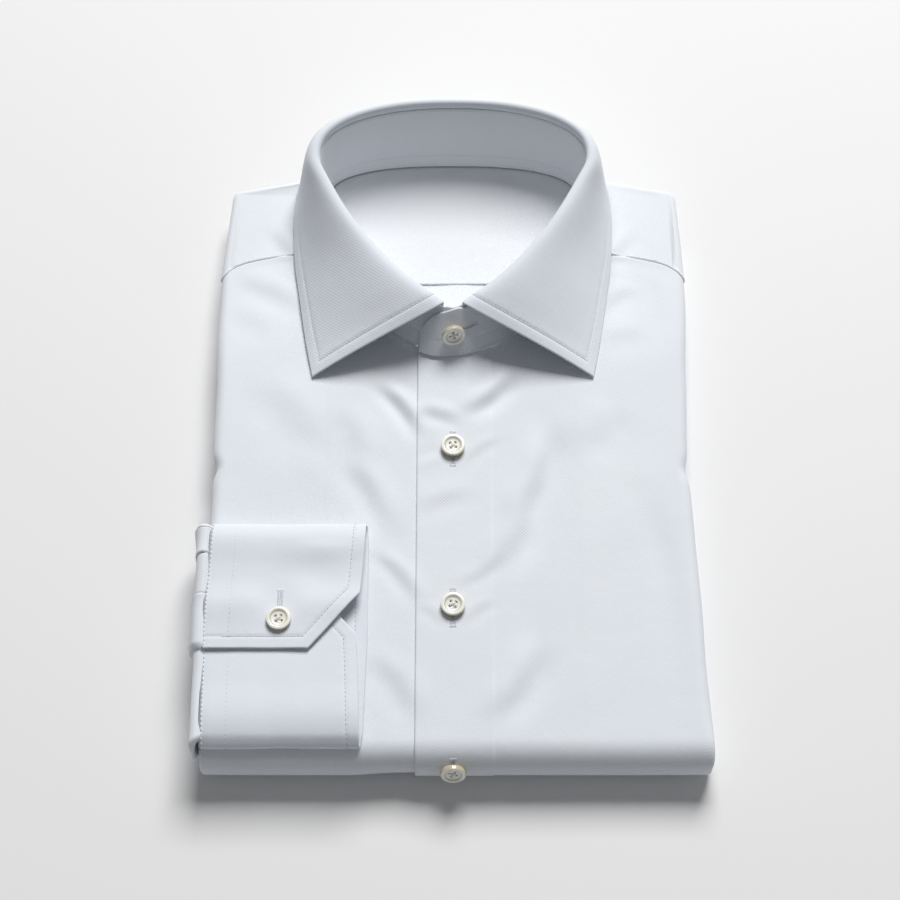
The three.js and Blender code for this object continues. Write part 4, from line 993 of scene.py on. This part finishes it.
def cuffGrid():
    # a strip wound in a flat spiral: rows follow its section, columns run in from its free edge. The slanted
    # ends are where a line at the mitre's slope cuts inside the straight edge
    table = np.array(cuffRows)
    run = arcLength(table[:, :2])
    keyed = [(r, *row) for r, row in zip(run, table)]
    corner, under = run[2], run[17]
    folds = np.concatenate([np.linspace(run[4], run[8], 26), np.linspace(run[10], run[15], 34)])
    rows = np.unique(np.round(np.concatenate([
        cuffEnds, np.linspace(9, run[4], 44), [corner - 0.5, corner, corner + 0.5], folds,
        np.linspace(run[8], run[10], 50), np.linspace(run[15], run[-1] - 9, 36), run[-1] - cuffEnds,
    ]), 3))
    rows = rows[np.concatenate([[True], np.diff(rows) > 0.04]), None]
    y, z = through(keyed, rows, 1), through(keyed, rows, 2)
    right = np.interp(rows, run, table[:, 2])
    left = np.interp(y, *np.array(cuffLeft).T)
    straight = np.where(rows < corner, table[2, 2] - 0.06 * (corner - rows), right)
    straight = np.where(rows > under, table[17, 2] - 0.067 * (rows - under), straight)
    slanted = table[2, 2] + cuffShape["mitreRise"] * (rows - corner)
    slanted = np.where(rows > run[9], table[17, 2] + cuffShape["underRise"] * (under - rows), slanted)
    cosine = 1 / math.hypot(1, cuffShape["mitreRise"])
    atEdge = lambda inward: np.minimum(straight - inward, slanted - inward / cosine)
    rimX = atEdge(cuffShape["rim"])
    inside = mix(rimX, left, (cuffInward - cuffShape["rim"]) / cuffShape["inner"])
    x = np.where(cuffInward > cuffShape["rim"], inside, atEdge(cuffInward))
    flat = xyz(x, y, z)
    down = rows + 0 * x
    bowed = 0.3 * ripple(x, down, 61, 70) + 0.13 * ripple(x, down * 0.5, 64, 34)
    # the flap lies hollow on each side of its button and dips round it
    flap = 1 - rise(rows, run[4] - 6, run[4] + 2)
    bowed = bowed - 1.6 * bell(down - 24, 9) * flap * (1 - bell(x + 84, 10))
    bowed = bowed - 0.7 * bell(np.hypot((x + 62) / 1.6, down - run[4] + 5), 8) * flap
    bowed = bowed + 0.5 * bell(np.hypot((x + 75) / 2.2, down - run[4] + 17), 7) * flap
    flat = flat + gridNormals(flat) * bowed[..., None]
    fromEdge = np.minimum(straight - x, (slanted - x) * cosine)
    free = least(fromEdge, rows, run[-1] - rows)
    half = roundEdge(np.minimum(free, x - left + 0.3), cuffShape["half"])
    seams = bell(free - 6, 0.7) * (free > 2) + 0.8 * bell(x - left - 13, 0.7)
    half = np.clip(half - np.where(free > 0.7, 0.14 * seams, 0), 0, None)
    return flat, half, free, np.stack([x, down], -1), rows[:, 0], run, left[:, 0], rimX[:, 0]


def cuffLine(runs, inward=None, x=None, fromLeft=0.0, lift=-0.1, face=1):
    # a line on the cuff's outer face (1) or inner face (-1) at lengths along its section: inward of its free
    # edge, or at x, or a little in from its left edge
    at = np.interp(runs, cuffRun, np.arange(len(cuffRun)))
    if inward is None:
        rimX, left = np.interp(runs, cuffRun, cuffRimX), np.interp(runs, cuffRun, cuffLeftX)
        x = left + fromLeft if x is None else x
        inward = cuffShape["rim"] + cuffShape["inner"] * (rimX - x) / (rimX - left)
    column = np.interp(inward + 0 * runs, cuffInward, np.arange(len(cuffInward)))
    return lineOn(cuffSurface, cuffNormals * face, at, column, cuffShape["half"] + lift)


cuffSurface, cuffHalfs, cuffFree, cuffUv, cuffRun, cuffMarks, cuffLeftX, cuffRimX = cuffGrid()
cuffNormals = normalsUp(cuffSurface, 20, 10)
cuff = plumpShell("cuffRight", cuffSurface, cuffHalfs, cuffUv, cuffFree)
cuffEnd = float(cuffMarks[-1])
inset = cuffShape["stitchIn"]
spread = lambda start, end: np.linspace(start, end, max(8, int((end - start) * 2)))
cuffBottom = np.linspace(inset, 64.5, 100)
cuffStitches = stitchRow("cuffStitches", [
    cuffLine(spread(inset, cuffEnd - inset), inward=inset),
    cuffLine(spread(inset, cuffEnd - 3), fromLeft=13.0),
    cuffLine(inset + 0 * cuffBottom, inward=cuffBottom),
    cuffLine(spread(cuffMarks[8], cuffMarks[10]), inward=inset, face=-1),
])
edgeLine = cuffLine(spread(1.0, cuffEnd - 1), fromLeft=1.4, lift=0.0)
cuffStitches.append(stitchPiece("cuffEdgeStitches", [edgeLine], edgeThread, radius=0.24, height=0.16))

sleeveRows = [  # step, x, z, tilt, thickness, near the top fold, near the bottom fold
    (-1, -113.5, 28.6, 0, 2.3, -49.8, -157.5), (-0.45, -118.2, 28.7, 0, 2.6, -49.3, -158.6),
    (0.15, -120.8, 28.6, 18, 3.9, -48.7, -160.8), (1, -122.3, 26.3, 52, 4.0, -48.2, -163.6),
    (2, -122.5, 22.5, 90, 4.4, -47.8, -165), (3, -122.1, 18.6, 112, 4, -47.8, -164.6),
    (4, -119.6, 15.4, 155, 3.2, -48.5, -160.5), (5, -114, 14.6, 180, 2.8, -48, -157),
    (6, -108, 14.6, 180, 2.8, -48, -155),
]
sleeveEdge = [  # y, x of the outer edge: dented at the two pleats and stepped where the placket ends
    (-163.5, -123.4), (-160, -124.4), (-157, -123.6), (-138, -124.3), (-117, -124.9), (-115.6, -125.3),
    (-114.4, -126.9), (-111, -127.5), (-99, -127.6), (-89.8, -127.7), (-88.6, -127.1), (-84, -127.2),
    (-76, -126.9), (-69.5, -126.4), (-68, -125.9), (-56, -127.3), (-44.3, -128.6),
]
# y at the outer edge, how much higher by the cuff, height, and 1 where the near side stands higher, or -1
pleats = [(-68.3, 4.3, 1.0, -1), (-89, 2.6, 0.8, 1), (-115.5, 1.2, 0.5, -1)]


besideRise = 2.2


def sleeveGrid():
    # flattened loops carried along a path that leaves the cuff, goes round the side fold and in between the
    # two layers; two pleats by the cuff are steps that fade away from it
    steps = np.concatenate([np.linspace(-1, 0, 8)[:-1], np.linspace(0, 4, 56), np.linspace(4.1, 6, 16)])
    x, z, tilt, thick, topY, lowY = (through(sleeveRows, steps, k)[:, None] for k in range(1, 7))
    angle = np.radians(tilt)
    outward = np.stack([-np.sin(angle), 0 * angle, np.cos(angle)], -1)
    half = thick / 2
    round1, round2 = np.radians(np.linspace(0, 180, 17)), np.radians(np.linspace(180, 360, 17))
    span = np.linspace(0, 1, 260)
    upper, lower = topY - half, lowY + half
    topPower = 0.55  # the top fold is squarer than the bottom one
    y = np.concatenate([
        upper + half * squarer(np.sin(round1), topPower), mix(upper, lower, span[1:-1]),
        lower + half * np.sin(round2), mix(lower, upper, span[1:]),
    ], 1)
    out = np.concatenate([
        half * squarer(np.cos(round1), topPower), -half + 0 * span[1:-1],
        half * np.cos(round2), half + 0 * span[1:],
    ], 1)
    step = steps[:, None]
    outerShare = (out + half) / (2 * half)
    near = 1 - rise(step, 0.1, 1.7)
    lean, pleat = 0, 0
    for at, higher, height, way in pleats:
        lean = lean + higher * near * bell(y - at, 9)
        below = way * (at + higher * near - y)
        pleat = pleat + height * np.exp(-np.clip(below, 0, None) / 4.5) * rise(below, -0.3, 0.2)
        pleat = pleat - 0.7 * height * bell(below + 0.55, 0.42)
    edgeX = np.interp(y - lean, *np.array(sleeveEdge).T)
    shown = rise(step, -0.8, 0.3) * (1 - rise(step, 2.6, 4))
    wave = 0.35 * ripple(step * 9, y, 71, 45)
    swell = (-126.9 - edgeX) * rise(step, 0.4, 1.6) + wave - 0.25 + pleat * mix(1, 0.35, rise(step, 0.8, 2))
    out = out + outerShare * shown * swell
    middle = xyz(x, 0 * y, z) + outward * half[..., None]
    # beside the doubled part of the cuff the sleeve stands higher
    beside = besideRise * rise(y, -116, -111.5) * rise(step, -0.6, 0) * (1 - rise(step, 0.3, 1.3))
    out = out + outerShare * beside
    points = middle + outward * out[..., None]
    points[..., 1] = y
    across, down = arcLength(points, 1), arcLength(points, 0)
    return points, np.stack([across[20:21] + 0 * across, -down[:, 300:301] + 0 * down], -1)


sleeve = clothSheet("sleeveRight", *sleeveGrid(), 0.5, bodyCloth, (-1, 0, 0.2))
print("cuff and sleeve made")

# the layers folded away inside
layers = {
    "thickness": 0.8,
    "length": 280,
    # height, half width, near end, how far short of the hem, for each sheet of hidden cloth
    "sheets": [
        (2.3, 112, -140, 1.5), (3.5, 111, -140, 3.2), (4.9, 113.5, -140, 0.8), (6.3, 111.5, -140, 5),
        (7.7, 113, -140, 3.4), (9.2, 110, -140, 6.6), (12.4, 108, -146, 12), (13.5, 105, -146, 16),
        (14.6, 109, -146, 9),
    ],
}


def hiddenLayers():
    # thin padded sheets lying on each other, each ending a little short of the hem, with uneven edges
    u, v = np.linspace(-1, 1, 90)[:, None], closeTo([0, 1], 0.02, 12)[::3][None]
    u = np.sign(u) * (1 - (1 - np.abs(u)) ** 1.4)
    made = []
    for i, (height, half, near, short) in enumerate(layers["sheets"]):
        end = through(farBoth, np.abs(u * half), 2) - short
        y = mix(near, end, v)
        x = u * (half + 0.8 * ripple(y, 0 * y, 80 + i, 90)) + 0 * v
        y = y + 0.7 * ripple(x, 0 * x, 90 + i, 60) * rise(v, 0.8, 1)
        z = height + 0.25 * ripple(x, y, 100 + i, 110)
        fromEdge = least((1 - np.abs(u)) * half, (1 - v) * layers["length"], v * layers["length"])
        thick = roundEdge(fromEdge, layers["thickness"] / 2)
        made.append(plumpGrid(xyz(x, y, z), thick, np.array([0, 0, -1.0]))[:2])
    points, faces = joined(made)
    return meshFrom("hiddenLayers", points, faces, points[:, :2], None, bodyCloth)


hidden = hiddenLayers()
print("hidden layers made")

# the buttons with their thread
button = {
    "radius": 6.0, "thickness": 2.8, "rim": 0.5, "dish": 3.25, "dishDepth": 0.8, "holeRadius": 0.66,
    "holeOffset": 1.3, "seat": 0.3, "threadRadius": 0.17,
}


def buttonSurface():
    # a turned profile: flat back, round rim, dished middle, with four holes sunk in the dish
    rim, radius, thick = button["rim"], button["radius"], button["thickness"]
    turn = np.radians(np.linspace(0, 90, 8))
    lower = np.stack([radius - 1 + np.sin(turn), 0.9 - 0.9 * np.cos(turn)], -1)
    upper = np.stack([radius - rim + rim * np.cos(turn), thick - rim + rim * np.sin(turn)], -1)
    slope = np.linspace(0, 1, 9)[1:, None]
    wall = np.concatenate([
        mix(radius - rim, button["dish"] - 0.3, slope), thick - button["dishDepth"] * rise(slope, 0.25, 1),
    ], 1)
    wall[:, 1] += 0.12 * np.sin(pi * slope[:, 0]) * (slope[:, 0] < 0.5)
    floorR = np.linspace(button["dish"] - 0.42, 0.02, 34)
    level = np.stack([floorR, 0 * floorR + thick - button["dishDepth"]], -1)
    profile = np.concatenate([[[0.02, 0], [radius * 0.5, 0]], lower, upper, wall, level])
    spin = np.radians(np.arange(73) * 5.0)
    x, y = profile[:, :1] * np.cos(spin), profile[:, :1] * np.sin(spin)
    z = profile[:, 1:] + 0 * x
    near = np.hypot(np.abs(x) - button["holeOffset"], np.abs(y) - button["holeOffset"])
    inDish = (np.arange(len(profile)) >= len(profile) - len(level))[:, None]
    inHole = (1 - rise(near, button["holeRadius"] - 0.13, button["holeRadius"] + 0.06)) * inDish
    z = z - 1.5 * inHole
    # how far the colour goes towards the side colour: the shell's own darker side, and painted shade on the
    # dish floor and in the holes
    outer = profile[:, :1] > button["dish"] + 0.5
    side = (1 - rise(profile[:, 1:], thick - 0.45, thick - 0.1)) * outer + 0 * x
    floor = 0.12 * (np.hypot(x, y) < button["dish"] - 0.1)
    return xyz(x, y, z), np.maximum(np.maximum(side, floor), 0.6 * inHole)


def buttonThreads():
    # four strands crossing from hole to hole, and the shank that goes down into the cloth
    o, top = button["holeOffset"], button["thickness"] - button["dishDepth"]
    made = []
    for sx, sy in ((1, 1), (1, -1)):
        for shift in (-0.2, 0.05, 0.28):
            s = np.linspace(-1, 1, 15)
            side = np.array([-sy, sx]) * shift * 0.7
            hump = top - 1.0 + (1.15 + 0.22 * (sy > 0)) * (1 - np.abs(s) ** 3.2)
            made.append(xyz(sx * s * o + side[0], sy * s * o + side[1], hump))
    return made


def tube(path, radius, sides=7):  # rings round a path; across them, a side and an up direction
    tangent = unit(np.gradient(path, axis=0))
    side = unit(np.cross(tangent, np.array([0.13, 0.07, 1.0])))
    up = np.cross(side, tangent)
    turn = np.arange(sides) * 2 * pi / sides
    cosine, sine = np.cos(turn)[None, :, None], np.sin(turn)[None, :, None]
    ring = path[:, None] + radius * (side[:, None] * cosine + up[:, None] * sine)
    return ring.reshape(-1, 3), ringFaces(len(path), sides)


def turnedTo(points, place, outward, spin=0.0):
    # the points turned by spin, stood up along outward and moved to place
    z = unit(np.array(outward, float))
    x = unit(np.cross(np.array([0, 1.0, 0]), z)) if abs(z[1]) < 0.99 else np.array([1.0, 0, 0])
    y = np.cross(z, x)
    c, s = math.cos(spin), math.sin(spin)
    a, b = points[..., 0] * c - points[..., 1] * s, points[..., 0] * s + points[..., 1] * c
    return np.array(place, float) + a[..., None] * x + b[..., None] * y + points[..., 2:3] * z


def addButton(name, node, place, outward, spin):
    # a button and its thread, standing a little off its place along outward
    seat = np.array(place, float) + unit(np.array(outward, float)) * button["seat"]
    surface, shade = buttonSurface()
    rows, columns = surface.shape[:2]
    points = turnedTo(surface, seat, outward, spin).reshape(-1, 3)
    piece = meshFrom(name, points, gridFaces(rows, columns, turned=True), None, {"shade": shade}, pearlShell)
    weld = piece.modifiers.new("weld", "WELD")
    weld.merge_threshold = 0.00005
    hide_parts(node)
    threads = [tube(turnedTo(path, seat, outward, spin), button["threadRadius"]) for path in buttonThreads()]
    thread = meshFrom(name + "Thread", *joined(threads), material=buttonThread)


addButton("buttonFront1", "button_front_1", (0, -1.4, 26.0), (0.01, -0.03, 1), 0.12)
addButton("buttonFront2", "button_front_2", (0, -89.1, 26.0), (-0.02, -0.05, 1), -0.2)
foldTurn = math.radians(75)
foldCentre = np.array([0, body["foldY"], body["height"] / 2])
foldOut = np.array([0, -math.sin(foldTurn), math.cos(foldTurn)])
foldPlace = foldCentre + foldOut * (body["height"] / 2)
addButton("buttonFront3", "button_front_3", foldPlace, foldOut, 0.3)
addButton("buttonCuff", "button_cuff", (-84.0, -100.1, 34.0), (0, -0.03, 1), 0.1)
bandFace = bandMiddle(np.array([10.0]), np.array([0.5]))[0]
bandOut = neckFrame(np.array([10.0]))[3][0]
collarTilt = unit(bandOut + np.array([0.2, -0.12, -0.4]))
addButton("buttonCollar", "button_collar", bandFace + bandOut * 1.2, collarTilt, 0.05)
print("buttons made")

# the buttonholes
buttonhole = {"width": 0.95, "satin": 1.25, "pitch": 0.34, "tack": 1.5, "thread": 0.16, "slit": 0.16}


def buttonholePaths(path, normals, scale=1.0):
    # two rows of satin stitches beside the slit and a bar tack across each end of it
    path, normals = np.asarray(path, float), np.asarray(normals, float)
    side = unit(np.cross(unit(np.gradient(path, axis=0)), normals))
    satin, tack = (
        {"across": True, "pitch": buttonhole["pitch"], "length": buttonhole[kind] * scale}
        for kind in ("satin", "tack")
    )
    made = [(path + side * way * buttonhole["width"] * scale, normals, satin) for way in (-1, 1)]
    for end, ahead in ((0, 1), (-1, -1)):
        along = unit(path[end + ahead] - path[end]) * ahead
        across = np.linspace(-1.75, 1.75, 20)[:, None] * side[end] * scale
        place = path[end] - along * ahead * 0.2 + across
        made.append((place, np.broadcast_to(normals[end], place.shape), tack))
    return made


def addButtonhole(name, path, normals, scale=1.0):  # the satin stitches and bar tacks, and the dark slit
    paths = buttonholePaths(path, normals, scale)
    made = stitchPiece(name, paths, stitchThread, radius=buttonhole["thread"], height=0.14)
    # a thin dark tube laid along the slit: painted shade for the opening of the cut
    slit = tube(np.asarray(path)[2:-2] + np.asarray(normals)[2:-2] * 0.03, buttonhole["slit"], 5)
    slitPiece = meshFrom(name + "Slit", *slit, material=slitPaintedShade)
    return [made, slitPiece]


def chestPath(x, top, low):  # a straight line down the placket, on its face
    y = np.linspace(top, low, 40)
    z = topZ(y) + relief(x + 0 * y, y) + facingStep(x) + 0.02
    return xyz(x, y, z), np.broadcast_to([0, 0, 1.0], (40, 3))


hole1 = addButtonhole("buttonhole1", *chestPath(0.0, 7.4, -11.6))
hole2 = addButtonhole("buttonhole2", *chestPath(0.0, -80.0, -99.6))
foldTurns = np.radians(np.linspace(45, 112, 40))
foldNormals = xyz(0, -np.sin(foldTurns), np.cos(foldTurns))
hole3 = addButtonhole("buttonhole3", foldCentre + foldNormals * (body["height"] / 2 + 0.05), foldNormals)
cuffHole = np.linspace(-84.5, -101.5, 36)
cuffHoleRun = np.interp(cuffHole, [row[0] for row in cuffRows[:5]], cuffMarks[:5])
holeCuff = addButtonhole("buttonholeCuff", *cuffLine(cuffHoleRun, x=-83.7, lift=0.0))
holeAt = np.linspace(10.15, 9.22, 40)
holeOut = neckFrame(holeAt)[3]
holePath = bandMiddle(holeAt, 0.56 + 0 * holeAt) + holeOut * collar["bandHalf"]
holeCollar = addButtonhole("buttonholeCollar", holePath, holeOut, 0.62)
print("buttonholes made")

# the cut: each cloth piece with the solid it replaces, the flat width and length of what is built of it,
# its flat area (metres), how it is held, what it lies on and the stitching that goes with it
sheets = [
    (
        frontLeft, "front_left", (0.218, 0.627), 0.108, "folded", [frontRight, hidden],
        hole1 + hole2 + hole3,
    ),
    (frontRight, "front_right", (0.195, 0.628), 0.095, "folded", [hidden], []),
    (yoke, "yoke", (0.397, 0.102), 0.0193, "folded", [hidden], []),
    (yokeLining, "yoke_lining", (0.160, 0.080), 0.0099, "laid", [hidden], []),
    (backPanel, "back", (0.124, 0.064), 0.0044, "laid", [hidden], []),
    (
        band, "collar_band", (0.456, 0.040), 0.0142, "folded", [yoke, frontLeft, frontRight],
        bandStitches + holeCollar,
    ),
    (leaf, "collar_leaf", (0.441, 0.082), 0.0223, "folded", [band, yoke], leafStitches),
    (cuff, "cuff_right", (0.284, 0.081), 0.0199, "folded", [frontRight], cuffStitches + holeCuff),
    (sleeve, "sleeve_right", (0.237, 0.049), 0.0091, "folded", [frontRight, hidden], []),
    (hidden, "inner_layers", (2.04, 0.31), 0.5765, "folded", [], []),
]
for piece, node, flat, area, held, under, stitches in sheets:
    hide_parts(node)

# the studio: one soft key light and a pale floor
studio = {
    "floor": (0.84, 0.84, 0.845),
    "floorHalf": 3000,
    "fill": 0.185,
    "keyPower": 174.0,
    "keySize": 1.9,
    "keyPlace": (0.52, 2.6, 3.02),
    "keyColour": (1, 0.995, 0.985),
    "sky": (0.97, 0.985, 1, 1),
}
print("light and floor")
floorCorners = np.array([(-1, -1, 0), (1, -1, 0), (1, 1, 0), (-1, 1, 0)]) * studio["floorHalf"]
floor = meshFrom("floor", floorCorners, np.array([[0, 1, 2, 3]]), smooth=False, body=None)
floorTree = NodeTree("paleFloor")
floorTree.shape(Base_Color=(*studio["floor"], 1), Roughness=0.6, Specular_IOR_Level=0.3)
floor.data.materials.append(floorTree.material)

world = bpy.data.worlds.new("studio")
bpy.context.scene.world = world
world.use_nodes = True
background = world.node_tree.nodes["Background"].inputs
background["Color"].default_value, background["Strength"].default_value = studio["sky"], studio["fill"]

keyLight = bpy.data.lights.new("keyLight", "AREA")
keyLight.energy, keyLight.size, keyLight.color = studio["keyPower"], studio["keySize"], studio["keyColour"]
lamp = bpy.data.objects.new("keyLight", keyLight)
bpy.context.scene.collection.objects.link(lamp)
lamp.location = studio["keyPlace"]
keyX, keyY, keyZ = studio["keyPlace"]  # the light is turned to face the origin
lamp.rotation_euler = (math.atan2(math.hypot(keyX, keyY), keyZ), 0, math.atan2(keyX, -keyY))
view = bpy.context.scene.view_settings
view.view_transform, view.look = "Standard", "None"
